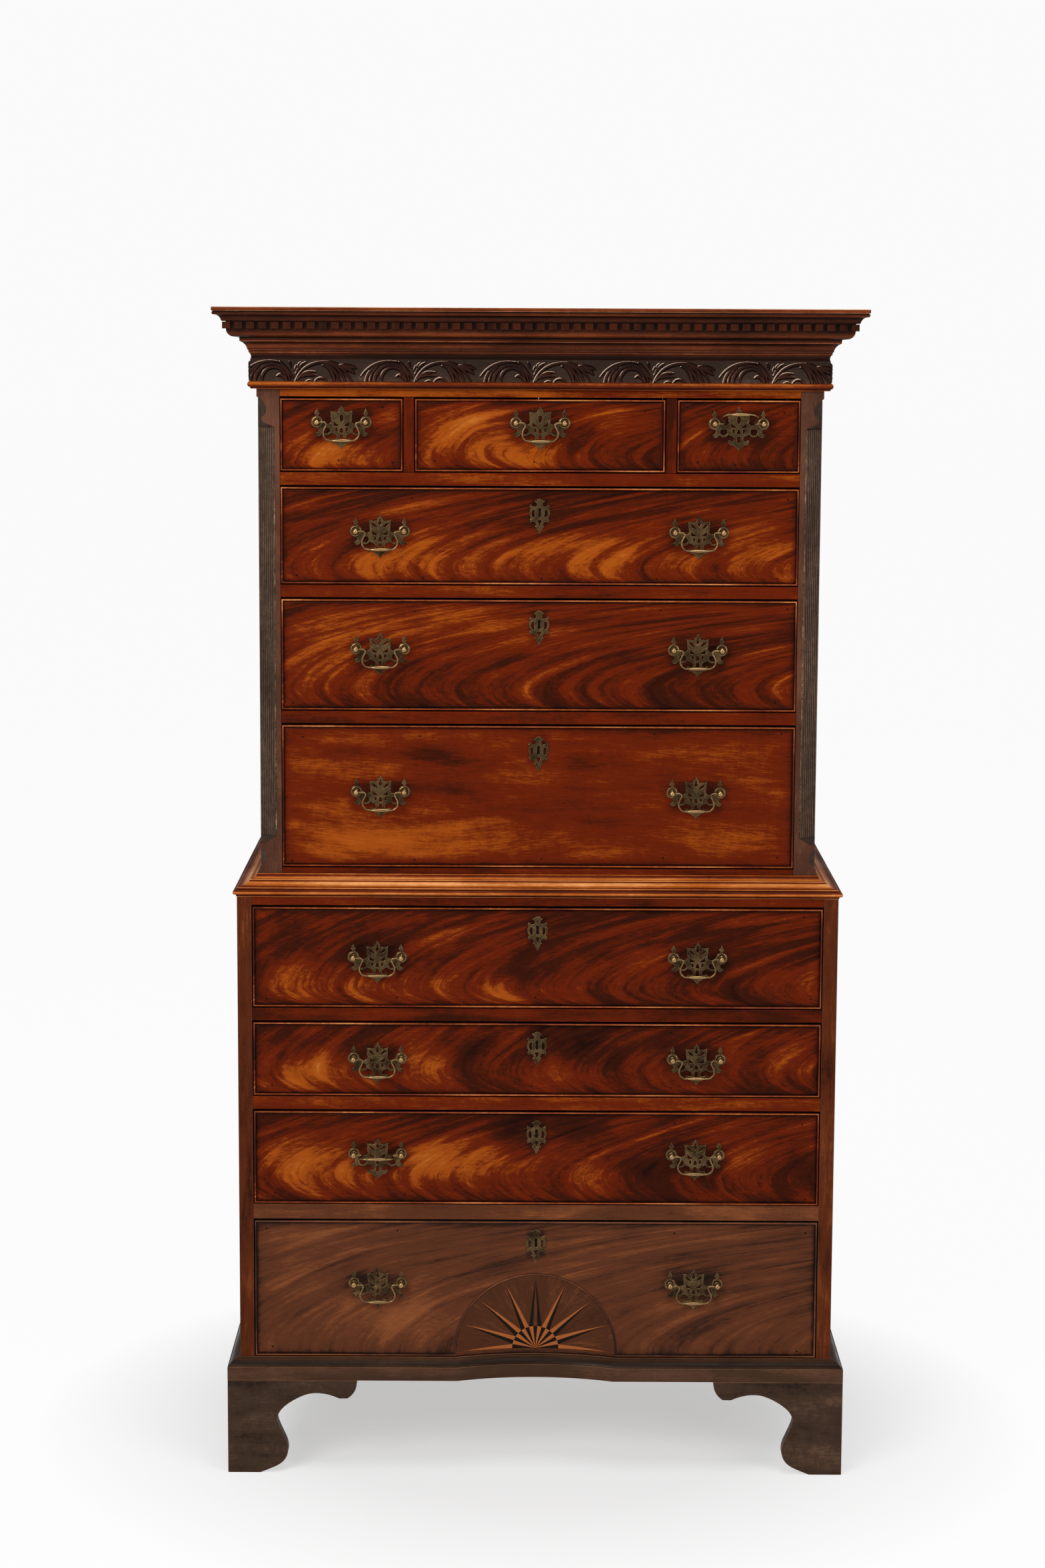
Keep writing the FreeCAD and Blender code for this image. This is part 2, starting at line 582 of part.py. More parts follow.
KEY_HOLE = [[(0, 8.0), (2.4, 6.2), (2.0, 1.4), (2.6, -4.4), (0, -7.6)]]
KEY_POINT = [[(0, -11.2), (4.0, -11.6)], [(4.0, -11.6), (1.4, -17.0), (0, -21.4)]]


def back_plate(name, piercings):
    """A pierced back plate with holes for the two posts."""
    plate = pierced_plate(name + "_blank", [PLATE_OUTLINE], [PLATE_TRIANGLE, PLATE_EYE, PLATE_RING]
                          + piercings["sides"],
                          [PLATE_WINDOW, PLATE_PENDANT] + piercings["middle"], "plate_thick")
    holes = [rod("%s_hole_%s" % (name, side), "stem_radius + 0.2", "plate_thick + 2",
                 "%spost_spacing / 2" % sign, "-plate_thick - 1", "0", Vector(0, 1, 0))
             for side, sign in (("a", "-"), ("b", ""))]
    return cut(name, plate, holes)


def handle_post():
    """A post: shank through the drawer, collar and ball with a blind hole for a pin."""
    shank = rod("post_shank", "stem_radius", "niche_front_thick + 4 + pivot_out - ball_radius / 2", "0",
                "ball_radius / 2 - pivot_out", "0", Vector(0, 1, 0))
    collar = rod("post_collar", "stem_radius + 2", "2.2", "0", "-plate_thick - 2.2", "0",
                 Vector(0, 1, 0))
    head = ball("post_ball", "ball_radius", "-pivot_out")
    solid = fuse("post_solid", [shank, collar, head])
    hole = rod("post_pin_hole", "wire_radius + pin_clearance", "ball_radius + 1", "0.5",
               "-pivot_out", "0", Vector(1, 0, 0))
    return cut("handle_post", solid, [hole])


def handle_nut(name, thick):
    """A round nut on the shank, against the back of the front."""
    disc = rod(name + "_disc", "stem_radius + 3.5", "3", "0", thick, "0", Vector(0, 1, 0))
    bore = rod(name + "_bore", "stem_radius", "5", "0", "%s - 1" % thick, "0", Vector(0, 1, 0))
    return cut(name, disc, [bore])


def bail_path():
    """Half of a bail's centre line is a pin, a swan neck of two arcs, and half of the grip.

    The neck turns down round a small circle, crosses on their common inner tangent to a larger
    circle, and turns in round that to the grip.
    """
    neck, corner = 3.5, 11.5
    drop = number("bail_drop")
    neck_at = Vector(-26.5, -neck, 0)
    corner_at = Vector(-16.6, corner - drop, 0)
    span = corner_at - neck_at
    bearing = math.atan2(span.y, span.x) + math.acos((neck + corner) / span.Length)
    outward = Vector(math.cos(bearing), math.sin(bearing), 0)
    start = Vector(1 - number("post_spacing") / 2, 0, 0)
    neck_top = neck_at + Vector(0, neck, 0)
    neck_end = neck_at + outward * neck
    corner_start = corner_at - outward * corner
    corner_end = corner_at - Vector(0, corner, 0)
    neck_middle = neck_at + (neck_top + neck_end - neck_at * 2).normalize() * neck
    corner_middle = corner_at + (corner_start + corner_end - corner_at * 2).normalize() * corner
    half = [[start, neck_top], [neck_top, neck_middle, neck_end], [neck_end, corner_start],
            [corner_start, corner_middle, corner_end]]
    grip = [[corner_end, Vector(-corner_end.x, corner_end.y, 0)]]
    other = [[Vector(-point.x, point.y, 0) for point in reversed(part)] for part in reversed(half)]
    return half + grip + other


def bail_master():
    """A bail: round wire along its path, with a thicker grip; its pins lie on the X axis."""
    edges = []
    for part in bail_path():
        points = [Vector(point.x, 0, point.y) for point in part]
        curve = Part.LineSegment(*points) if len(points) == 2 else Part.Arc(*points)
        edges.append(curve.toShape())
    path = doc.addObject("Part::Feature", "bail_path")
    path.Shape = Part.Wire(edges)
    section = doc.addObject("Part::Circle", "bail_section")
    bind(section, Radius="wire_radius")
    section.Placement = Placement(Vector(), Rotation(Vector(0, 0, 1), Vector(1, 0, 0)))
    place(section, x="1 - post_spacing / 2")
    wire = doc.addObject("Part::Sweep", "bail_wire")
    wire.Sections = [section]
    wire.Spine = (path, ["Edge%d" % (index + 1) for index in range(len(edges))])
    wire.Solid = True
    grip = doc.addObject("Part::Ellipsoid", "bail_grip")
    bind(grip, Radius1="grip_radius * 6", Radius2="grip_radius", Radius3="grip_radius")
    grip.Placement = Placement(Vector(), Rotation(Vector(0, 0, 1), Vector(1, 0, 0)))
    place(grip, z="-bail_drop")
    return fuse("bail_master", [wire, grip])


def lock_case():
    """A lock case open at the top for its bolt; its origin is the middle of its top, at the back."""
    case = board("lock_block", ("-lock_wide / 2", "lock_wide / 2"), ("-lock_thick", "0"),
                 ("-lock_high", "0"))
    slot = board("lock_slot", ("-bolt_wide / 2 - bolt_clearance", "bolt_wide / 2 + bolt_clearance"),
                 ("-lock_thick / 2 - bolt_thick / 2 - bolt_clearance",
                  "-lock_thick / 2 + bolt_thick / 2 + bolt_clearance"),
                 ("-bolt_high - bolt_clearance", "1"))
    key = board("lock_key_way", ("-1.6", "1.6"), ("-lock_thick - 1", "-lock_thick / 2 - bolt_thick"),
                ("-lock_high + 2", "-bolt_high - 3"))
    return cut("lock_case", case, [slot, key])


def lock_bolt():
    """The bolt, in the frame of its case."""
    return board("lock_bolt", ("-bolt_wide / 2", "bolt_wide / 2"),
                 ("-lock_thick / 2 - bolt_thick / 2", "-lock_thick / 2 + bolt_thick / 2"),
                 ("-bolt_high", "-0.5"))


def make_masters():
    """One of each brass that is repeated."""
    long_piercing = {"sides": [PLATE_LEAF], "middle": [PLATE_SPADE]}
    short_piercing = {"sides": [], "middle": [PLATE_SLOT]}
    return {
        "long_plate": back_plate("long_plate", long_piercing),
        "short_plate": back_plate("short_plate", short_piercing),
        "escutcheon": pierced_plate("escutcheon", [KEY_OUTLINE], [KEY_WINDOW],
                                    [KEY_HOLE, KEY_POINT], "plate_thick"),
        "post": handle_post(),
        "nut": handle_nut("handle_nut", "front_thick"),
        "niche_nut": handle_nut("niche_nut", "niche_front_thick"),
        "bail": bail_master(),
        "lock": lock_case(),
        "bolt": lock_bolt(),
    }


def drawer_brasses(drawer, masters):
    """Plates, posts and nuts of a drawer's handles, and its escutcheon and lock case."""
    pieces = []
    plate = masters["long_plate" if drawer.key_drop else "short_plate"]
    deep_front = drawer.size == "lower_four"
    nut = masters["niche_nut" if deep_front else "nut"]
    axis = post_height(drawer)
    for label, across in drawer.handles.items():
        name = "%s_%s" % (drawer.name, label)
        pieces.append(copy(name + "_plate", plate, x=across, z=axis))
        for side, sign, turn in (("a", "-", Rotation()),
                                 ("b", "+", Rotation(Vector(0, 1, 0), 180))):
            middle = "%s %s post_spacing / 2" % (across, sign)
            pieces.append(copy("%s_post_%s" % (name, side), masters["post"], middle, "0", axis, turn))
            pieces.append(copy("%s_nut_%s" % (name, side), nut, middle, "0", axis))
    if drawer.key_drop:
        tall = drawer.size + "_high"
        pieces.append(copy(drawer.name + "_escutcheon", masters["escutcheon"],
                           z="%s - %s" % (tall, drawer.key_drop)))
        pieces.append(copy(drawer.name + "_lock", masters["lock"], y=front_thickness(drawer), z=tall))
    return pieces


def drawer_nodes(drawer, masters):
    """The wood, the brasses, the bails and the bolt of one drawer, each in its place."""
    where = drawer_place(drawer)
    nodes = [place(group(drawer.name + "_wood", drawer_front(drawer) + drawer_box(drawer)), **where),
             place(group(drawer.name + "_brasses", drawer_brasses(drawer, masters)), **where)]
    for label, across in drawer.handles.items():
        name = "%s_%s" % (drawer.name, label)
        bail = copy(name + "_copy", masters["bail"], turn=Rotation(Vector(-1, 0, 0), 0))
        if name in LEFT_UP:
            bail.Placement = Placement(Vector(), Rotation(Vector(-1, 0, 0), number(LEFT_UP[name])))
        nodes.append(place(group(name, [bail]), x="%s + %s" % (where["x"], across),
                           y="%s - pivot_out" % where["y"],
                           z="%s + %s" % (where["z"], post_height(drawer))))
    if drawer.key_drop:
        bolt = copy(drawer.name + "_bolt_copy", masters["bolt"], y=front_thickness(drawer),
                    z=drawer.size + "_high")
        nodes.append(place(group(drawer.name + "_lock_bolt", [bolt]), **where))
    return nodes


# --------------------------------------------------------------------------------------------
# The carcasses
# --------------------------------------------------------------------------------------------

def mortise(name, face, thick, rail_bottom):
    """The hole in a rail that takes the bolt of the drawer below."""
    middle = "%s + %s - lock_thick / 2" % (face, thick)
    return board(name, ("-bolt_wide / 2 - 1", "bolt_wide / 2 + 1"),
                 ("%s - bolt_thick / 2 - 1" % middle, "%s + bolt_thick / 2 + 1" % middle),
                 ("%s - 1" % rail_bottom, "%s + bolt_throw" % rail_bottom))


def front_rail(name, half, face, bottom, top, thick=None):
    """A front rail, with a mortise in its underside where a bolt rises into it."""
    rail = board(name, ("-(%s)" % half, half), (face, "%s + rail_deep" % face), (bottom, top))
    if thick is None:
        return rail
    return cut(name + "_mortised", rail, [mortise(name + "_mortise", face, thick, bottom)])


def shelf(name, half, face, bottom, top):
    """The dustboard behind a rail, flush with its top, and a kicker strip under each end."""
    back = "%s - back_board" % BACK
    start = "%s + rail_deep" % face
    pieces = [board(name + "_board", ("-(%s)" % half, half), (start, back),
                    ("%s - dustboard" % top, top))]
    if number("(%s) - (%s) - dustboard" % (top, bottom)) > 2:
        pieces += mirrored_pair(name + "_kicker", ("%s - 40" % half, half), (start, back),
                                (bottom, "%s - dustboard" % top))
    return pieces


def stops(name, half_width, face, thick, top):
    """Two small blocks on the rail that the back of a drawer front comes up to."""
    return mirrored_pair(name, ("%s - 130" % half_width, "%s - 90" % half_width),
                         ("%s + %s + 0.5" % (face, thick), "%s + %s + 18" % (face, thick)),
                         (top, "%s + stop_high" % top))


def planks(name, half, bottom, top, count):
    """Upright boards side by side across the back."""
    width = "(2 * (%s) / %d)" % (half, count)
    return [board("%s_%d" % (name, index), ("-(%s) + %s * %d" % (half, width, index),
                                            "-(%s) + %s * %d - 0.6" % (half, width, index + 1)),
                  ("%s - back_board" % BACK, BACK), (bottom, top)) for index in range(count)]


def rail_levels(sizes, bottom_rail, top_rail):
    """(bottom, top) of every rail from the lowest drawer's up, between fixed ends."""
    levels = [bottom_rail]
    for below, above in zip(sizes, sizes[1:]):
        levels.append(("%s_base + %s_high + gap_above" % (below, below),
                       "%s_base - gap_below" % above))
    return levels + [top_rail]


LOWER_SIZES = ["lower_four", "lower_three", "lower_two", "lower_one"]
UPPER_SIZES = ["upper_three", "upper_two", "upper_one", "short"]


def lower_carcass():
    """Sides, rails, dustboards with their strips and stops, and back of the lower case."""
    sides = mirrored_pair("lower_side_board", (LOWER_INNER, "lower_width / 2"), (LOW_FRONT, BACK),
                          ("foot_height", "waist_height"))
    levels = rail_levels(LOWER_SIZES, ("foot_height", "lower_four_base - gap_below"),
                         ("lower_one_base + lower_one_high + gap_above", "waist_height"))
    rails, boards = [], []
    for index, (bottom, top) in enumerate(levels):
        name = "lower_rail_%d" % index
        if index == 0:
            blank = front_rail(name, LOWER_INNER, LOW_FRONT, bottom, top)
            hollow = rod("rail_hollow", NICHE_RADIUS, "100", "0",
                         "%s + niche_deep - %s" % (LOW_FRONT, NICHE_RADIUS), "foot_height - 10",
                         Vector(0, 0, 1))
            rails.append(cut(name + "_hollowed", blank, [hollow]))
            boards += shelf("lower_shelf_0", LOWER_INNER, LOW_FRONT, "%s - dustboard" % top, top)
        else:
            thick = "niche_front_thick" if index == 1 else "front_thick"
            rails.append(front_rail(name, LOWER_INNER, LOW_FRONT, bottom, top, thick))
            boards += shelf("lower_shelf_%d" % index, LOWER_INNER, LOW_FRONT, bottom, top)
        if index < len(LOWER_SIZES):
            thick = "niche_front_thick" if index == 0 else "front_thick"
            boards += stops("lower_stop_%d" % index, "lower_front / 2", LOW_FRONT, thick, top)
    back = planks("lower_plank", LOWER_INNER, "foot_height", "waist_height", 4)
    return {"lower_sides": sides, "lower_rails": rails, "lower_dustboards": boards,
            "lower_back": back}


def upper_carcass():
    """Sides, rails with the uprights, dustboards with guides and stops, and back."""
    half, base = UPPER_WIDTH + " / 2", "waist_height"
    behind = "%s + cant" % UP_FRONT
    back = "%s - back_board" % BACK
    sides = mirrored_pair("upper_side_board", (UPPER_INNER, half), (behind, BACK),
                          (base, "case_top"))
    levels = rail_levels(UPPER_SIZES, ("upper_three_base - gap_below - 20",
                                       "upper_three_base - gap_below"),
                         ("top_rail_base", "case_top"))
    rails, boards = [], []
    for index, (bottom, top) in enumerate(levels[:-1]):
        name = "upper_rail_%d" % index
        thick = "front_thick" if index else None
        rails.append(front_rail(name, POST_INNER, UP_FRONT, bottom, top, thick))
        boards += shelf("upper_shelf_%d" % index, UPPER_INNER, UP_FRONT, bottom, top)
        boards += mirrored_pair("upper_guide_%d" % index, (POST_INNER, UPPER_INNER),
                                ("%s + rail_deep" % UP_FRONT, back), (top, "%s + 30" % top))
        if index < 3:
            boards += stops("upper_stop_%d" % index, "upper_front / 2", UP_FRONT, "front_thick", top)
    short_floor = levels[3][1]
    boards += stops("short_stop_middle", "divider_place", UP_FRONT, "front_thick", short_floor)
    boards += stops("short_stop_outer", "upper_front / 2 + 40", UP_FRONT, "front_thick", short_floor)
    rails.append(board("upper_top_rail", ("-(%s)" % POST_INNER, POST_INNER),
                       (UP_FRONT, "%s + cant" % UP_FRONT), levels[-1]))
    upright = ("divider_place - divider / 2", "divider_place + divider / 2")
    rails += mirrored_pair("divider_upright", upright, (UP_FRONT, "%s + rail_deep" % UP_FRONT),
                           (short_floor, "top_rail_base"))
    boards += mirrored_pair("divider_guide", upright, ("%s + rail_deep" % UP_FRONT, back),
                            (short_floor, "%s + 40" % short_floor))
    boards += mirrored_pair("divider_kicker", ("divider_place - 25", "divider_place + 25"),
                            ("%s + cant" % UP_FRONT, back), ("top_rail_base", "top_rail_base + 18"))
    boards.append(board("upper_top_board", ("-(%s)" % UPPER_INNER, UPPER_INNER),
                        ("%s + cant" % UP_FRONT, back), ("case_top - 19", "case_top")))
    planks_back = planks("upper_plank", UPPER_INNER, base, "case_top", 4)
    return {"upper_sides": sides, "upper_rails": rails, "upper_dustboards": boards,
            "upper_back": planks_back}


# The canted face between its two lamb's-tongue stops.  The first coordinate runs across the
# case from the outer edge of the cant, and the second is the height above the floor.
CANT_STROKES = [
    [(-30.0, 987.0), (0.0, 987.0)],
    [(0.0, 987.0), (6.0, 993.0), (11.4, 1001.9)],
    [(11.4, 1001.9), (9.6, 1012.0), (3.0, 1021.0), (0.6, 1025.1)],
    [(0.6, 1025.1), (8.0, 1026.0), (17.0, 1030.4), (28.0, 1037.6)],
    [(28.0, 1037.6), (60.0, 1037.6)], [(60.0, 1037.6), (60.0, 1684.8)],
    [(60.0, 1684.8), (28.0, 1684.8)],
    [(28.0, 1684.8), (17.0, 1690.6), (9.6, 1694.6), (6.8, 1700.6)],
    [(6.8, 1700.6), (13.0, 1706.0), (15.0, 1717.5)],
    [(15.0, 1717.5), (9.0, 1727.0), (0.0, 1733.3)],
    [(0.0, 1733.3), (-30.0, 1733.3)], [(-30.0, 1733.3), (-30.0, 987.0)],
]
REED_COUNT, REED_MARGIN = 8, "0.9"
REED_BASE, REED_TOP = "1037.6", "1684.8"


def reeded_corner():
    """The right corner post: square at its ends, canted between the stops, with reeds."""
    outer = "(%s / 2)" % UPPER_WIDTH
    post = board("corner_blank", (POST_INNER, outer), (UP_FRONT, "%s + cant" % UP_FRONT),
                 ("waist_height", "case_top"))
    sketch = doc.addObject("Sketcher::SketchObject", "cant_outline")
    draw_strokes(sketch, CANT_STROKES)
    sketch.Placement = Placement(Vector(), Rotation(Vector(-1, 0, 0), Vector(0, 0, 1),
                                                    Vector(0, 1, 0)))
    place(sketch, x=outer, y="%s - 40" % UP_FRONT)
    reach = extrude("cant_reach", sketch, Vector(0, 1, 0), "cant + 80")
    plan = flat_outline("cant_plan", [("%s - cant" % outer, UP_FRONT),
                                      ("%s + 40" % outer, "%s - 40 - cant * 2" % UP_FRONT),
                                      ("%s + 40" % outer, "%s + cant + 40" % UP_FRONT)],
                        z="waist_height")
    wedge = extrude("cant_wedge", plan, Vector(0, 0, 1), "case_top - waist_height")
    canted = cut("corner_canted", post, [boolean("Common", "cant_tool", reach, wedge)])
    pitch = "((cant - 2 * %s) / %d)" % (REED_MARGIN, REED_COUNT)
    reeds = []
    for index in range(REED_COUNT):
        along = "(%s + (%d + 0.5) * %s)" % (REED_MARGIN, index, pitch)
        reeds.append(rod("reed_%d" % index, "%s * 0.46 * sqrt(2)" % pitch,
                         "%s - %s" % (REED_TOP, REED_BASE),
                         "%s - %s - 0.3" % (outer, along), "%s + cant - %s + 0.3" % (UP_FRONT, along),
                         REED_BASE, Vector(0, 0, 1)))
    return fuse("reeded_corner_right", [canted] + reeds)


# --------------------------------------------------------------------------------------------
# Mouldings, plinth and feet
# --------------------------------------------------------------------------------------------

# Sections, outwards from the case and upwards from the underside.
WAIST_SECTION = [("0", "0"), ("setback + 1", "0"), ("setback + 1", "3"),
                 ("setback + 5", "4.4", "4.4"), ("setback + 3.4", "11.4"), ("setback", "11.4"),
                 ("setback", "14.6"), ("setback - 2", "14.6", "-40"), ("15", "22.2"), ("15", "24.6"),
                 ("13", "24.6", "-11"), ("4.4", "29"), ("4.4", "waist_mould"), ("0", "waist_mould")]
PLINTH_TOP_OUT = "3"
PLINTH_SECTION = [("0", "0"), ("plinth_out", "0"), ("plinth_out", "plinth_fascia"),
                  ("plinth_out - 1.6", "plinth_fascia", "16"),
                  (PLINTH_TOP_OUT, "plinth_fascia + plinth_mould - 1.4"),
                  (PLINTH_TOP_OUT, "plinth_fascia + plinth_mould"),
                  ("0", "plinth_fascia + plinth_mould")]
ASTRAGAL_SECTION = [("0", "0"), ("frieze_out + 0.6", "0"), ("frieze_out + 0.6", "2.6"),
                    ("frieze_out + 1.2", "2.6", "4.7"), ("frieze_out + 1.2", "11.8"), ("0", "11.8")]
FRIEZE_SECTION = [("0", "0"), ("frieze_out", "0"), ("frieze_out", "frieze_height"),
                  ("0", "frieze_height")]
# The cornice from the frieze up: cove, bead, large cove, fillet, ovolo, dentil band, cavetto,
# bead and top fascia, with a sloping back.
CORNICE_SECTION = [("0", "0"), ("frieze_out", "0", "-7.6"), ("11", "10"), ("11", "13.4"),
                   ("12.4", "13.4", "-17"), ("24", "27.4"), ("24", "33"), ("31.5", "34", "12"),
                   ("43", "45.5"), ("43", "58"), ("49", "58"), ("50", "59.4", "-11"), ("59", "68"),
                   ("61", "68", "3"), ("61", "73.8"), ("64", "73.8"), ("64", "80"), ("40", "80"),
                   ("0", "22")]
# The curved length of the plinth ends this many degrees inside the straight one.
HOLLOW_END = "0.035"
DENTIL_BASE, DENTIL_HIGH, DENTIL_OUT = "46.5", "10.6", "5.5"
DENTIL_FACE, DENTIL_PITCH = "12.4", 18.7
FRIEZE_TOP = "(frieze_base + frieze_height)"
ASTRAGAL_BASE = "(frieze_base - 11.8)"


def dentils():
    """Blocks along the front and the returns, standing on the dentil band of the cornice."""
    band = "(%s / 2 + 43)" % UPPER_WIDTH
    face = "(%s - 43)" % UP_FRONT
    height = ("%s + %s" % (FRIEZE_TOP, DENTIL_BASE),
              "%s + %s + %s" % (FRIEZE_TOP, DENTIL_BASE, DENTIL_HIGH))
    span = number("2 * %s + 2 * %s - %s" % (band, DENTIL_OUT, DENTIL_FACE))
    gaps = round(span / DENTIL_PITCH)
    pitch = span / gaps
    start = "(%s / 2 - %s / 2)" % (span, DENTIL_FACE)
    blocks = []
    for index in range(gaps + 1):
        left = "%s * %d - %s - %s" % (pitch, index, start, DENTIL_FACE)
        blocks.append(board("dentil_%d" % index, (left, "%s + %s" % (left, DENTIL_FACE)),
                            ("%s - %s" % (face, DENTIL_OUT), face), height))
    deep = int(number("(%s - %s) / %s" % (BACK, face, pitch)))
    for index in range(1, deep):
        near = "%s - %s + %s * %d" % (face, DENTIL_OUT, pitch, index)
        blocks += mirrored_pair("dentil_side_%d" % index, (band, "%s + %s" % (band, DENTIL_OUT)),
                                (near, "%s + %s" % (near, DENTIL_FACE)), height)
    return blocks


def plinth(blocks):
    """Fascia and moulding round three sides, hollowed in plan below the recess."""
    front, left, right = mitred_moulding("plinth", PLINTH_SECTION, "lower_width / 2", LOW_FRONT,
                                         "foot_height", blocks)
    straight = cut("plinth_front_hollowed", front, [hollow_void("plinth_void")])
    whole = fuse("plinth_front_whole", [straight, hollow_ring("plinth_ring")])
    return [whole, left, right]


def turned_section(outline):
    """A section with its distances measured from the upright axis of the hollow."""
    return [("%s - (%s)" % (NICHE_RADIUS, entry[0]), entry[1])
            + tuple("-(%s)" % radius for radius in entry[2:]) for entry in outline]


def turned_about_hollow(name, outline, half_angle):
    """An outline turned about the upright axis of the hollow, evenly to both sides."""
    section = flat_outline(name + "_section", outline,
                           Rotation(Vector(1, 0, 0), Vector(0, 0, 1), Vector(0, -1, 0)))
    turned = doc.addObject("Part::Revolution", name)
    turned.Source = section
    turned.Axis = Vector(0, 0, 1)
    turned.Solid = True
    bind(turned, Angle="2 * " + half_angle)
    turned.Placement = Placement(Vector(), Rotation(Vector(0, 0, 1), 90 - number(half_angle)))
    return place(turned, y="%s + niche_deep - %s" % (LOW_FRONT, NICHE_RADIUS), z="foot_height")


def hollow_ring(name):
    """The plinth's section swept through the angle of the hollow, concave to the front."""
    return turned_about_hollow(name, turned_section(PLINTH_SECTION),
                               "(asin(niche_half / %s) / 1 deg + %s)" % (NICHE_RADIUS, HOLLOW_END))


def hollow_void(name):
    """What the hollow takes out of the straight length: all inside the ring's inner face."""
    over = "plinth_fascia + plinth_mould + 1"
    outline = [("0", "-1"), ("%s - plinth_out" % NICHE_RADIUS, "-1")]
    outline += turned_section(PLINTH_SECTION)[2:-2]
    outline += [("%s - %s" % (NICHE_RADIUS, PLINTH_TOP_OUT), over), ("0", over)]
    return turned_about_hollow(name, outline, "60")


# A bracket from its outer corner inwards and from the floor up, less its top edge.
BRACKET_STROKES = [
    [(209.0, 155.0), (206.8, 139.6), (194.1, 124.9)],
    [(194.1, 124.9), (181.0, 124.6)],
    [(181.0, 124.6), (166.4, 130.2), (149.5, 133.4), (132.3, 132.5), (116.8, 127.0),
     (99.5, 117.1), (85.7, 104.5), (80.5, 92.7), (83.0, 80.4), (91.6, 61.0), (97.6, 41.0),
     (92.1, 22.0), (71.3, 7.7), (52.3, 0.0)],
    [(52.3, 0.0), (0.0, 0.0)],
    [(0.0, 0.0), (0.0, 155.0)],
    [(0.0, 155.0), (209.0, 155.0)],
]
FOOT_THICK = "20"


def bracket(name, turn, direction, x, y):
    """One shaped face of a foot; its outline starts at the given corner."""
    sketch = doc.addObject("Sketcher::SketchObject", name + "_outline")
    draw_strokes(sketch, BRACKET_STROKES)
    sketch.Placement = Placement(Vector(), turn)
    place(sketch, x=x, y=y)
    return extrude(name, sketch, direction, FOOT_THICK)


def bracket_feet():
    """Two mitred brackets at each front corner; a bracket and a plain back board at each rear."""
    outer = "lower_width / 2 + plinth_out"
    ahead = "%s - plinth_out" % LOW_FRONT
    front_raw = bracket("front_bracket", Rotation(Vector(-1, 0, 0), Vector(0, 0, 1),
                                                  Vector(0, 1, 0)), Vector(0, 1, 0), outer, ahead)
    side_turn = Rotation(Vector(0, 1, 0), Vector(0, 0, 1), Vector(1, 0, 0))
    side_raw = bracket("side_bracket", side_turn, Vector(-1, 0, 0), outer, ahead)
    plan = [(outer + " + 5", ahead + " - 5"), (outer + " - 60", ahead + " + 60"),
            (outer + " - 300", ahead + " + 60"), (outer + " - 300", ahead + " - 5")]
    front_half = extrude("foot_front_half", flat_outline("foot_front_plan", plan),
                         Vector(0, 0, 1), "foot_height")
    front = boolean("Common", "foot_front", front_raw, front_half)
    side = cut("foot_side", side_raw, [front_half])
    rear_turn = Rotation(Vector(0, -1, 0), Vector(0, 0, 1), Vector(-1, 0, 0))
    rear = bracket("rear_side_bracket", rear_turn, Vector(-1, 0, 0), outer, BACK)
    rear_board = board("rear_foot_board", (outer + " - 150", "%s - %s" % (outer, FOOT_THICK)),
                       ("%s - %s" % (BACK, FOOT_THICK), BACK), ("0", "foot_height"))
    slope = flat_outline("rear_slope", [("0", "0"), ("-90", "0"), ("-90", "120"), ("-70", "120")],
                         Rotation(Vector(1, 0, 0), Vector(0, 0, 1), Vector(0, -1, 0)),
                         x=outer + " - 70", y=BACK + " + 5")
    rear_cutter = extrude("rear_slope_tool", slope, Vector(0, -1, 0), "40")
    rear_back = cut("foot_rear_back", rear_board, [rear_cutter])
    right = [front, side, rear, rear_back]
    return right + [mirror(piece.Name + "_left", piece) for piece in right]


def foot_blocks():
    """Upright glue blocks in the corners of the feet, and blocks along under the plinth."""
    outer = "lower_width / 2 + plinth_out - %s" % FOOT_THICK
    front = "%s - plinth_out + %s" % (LOW_FRONT, FOOT_THICK)
    rear = "%s - %s" % (BACK, FOOT_THICK)
    pieces = mirrored_pair("front_block", (outer + " - 42", outer), (front, front + " + 42"),
                           ("4", "foot_height"))
    pieces += mirrored_pair("rear_block", (outer + " - 42", outer), (rear + " - 42", rear),
                            ("4", "foot_height"))
    pieces += mirrored_pair("front_glue_block", (outer + " - 150", outer + " - 60"),
                            (front, front + " + 22"), ("foot_height - 22", "foot_height"))
    pieces += mirrored_pair("side_glue_block", (outer + " - 22", outer),
                            (front + " + 60", front + " + 150"), ("foot_height - 22", "foot_height"))
    return pieces


# --------------------------------------------------------------------------------------------
# Assembly
# --------------------------------------------------------------------------------------------

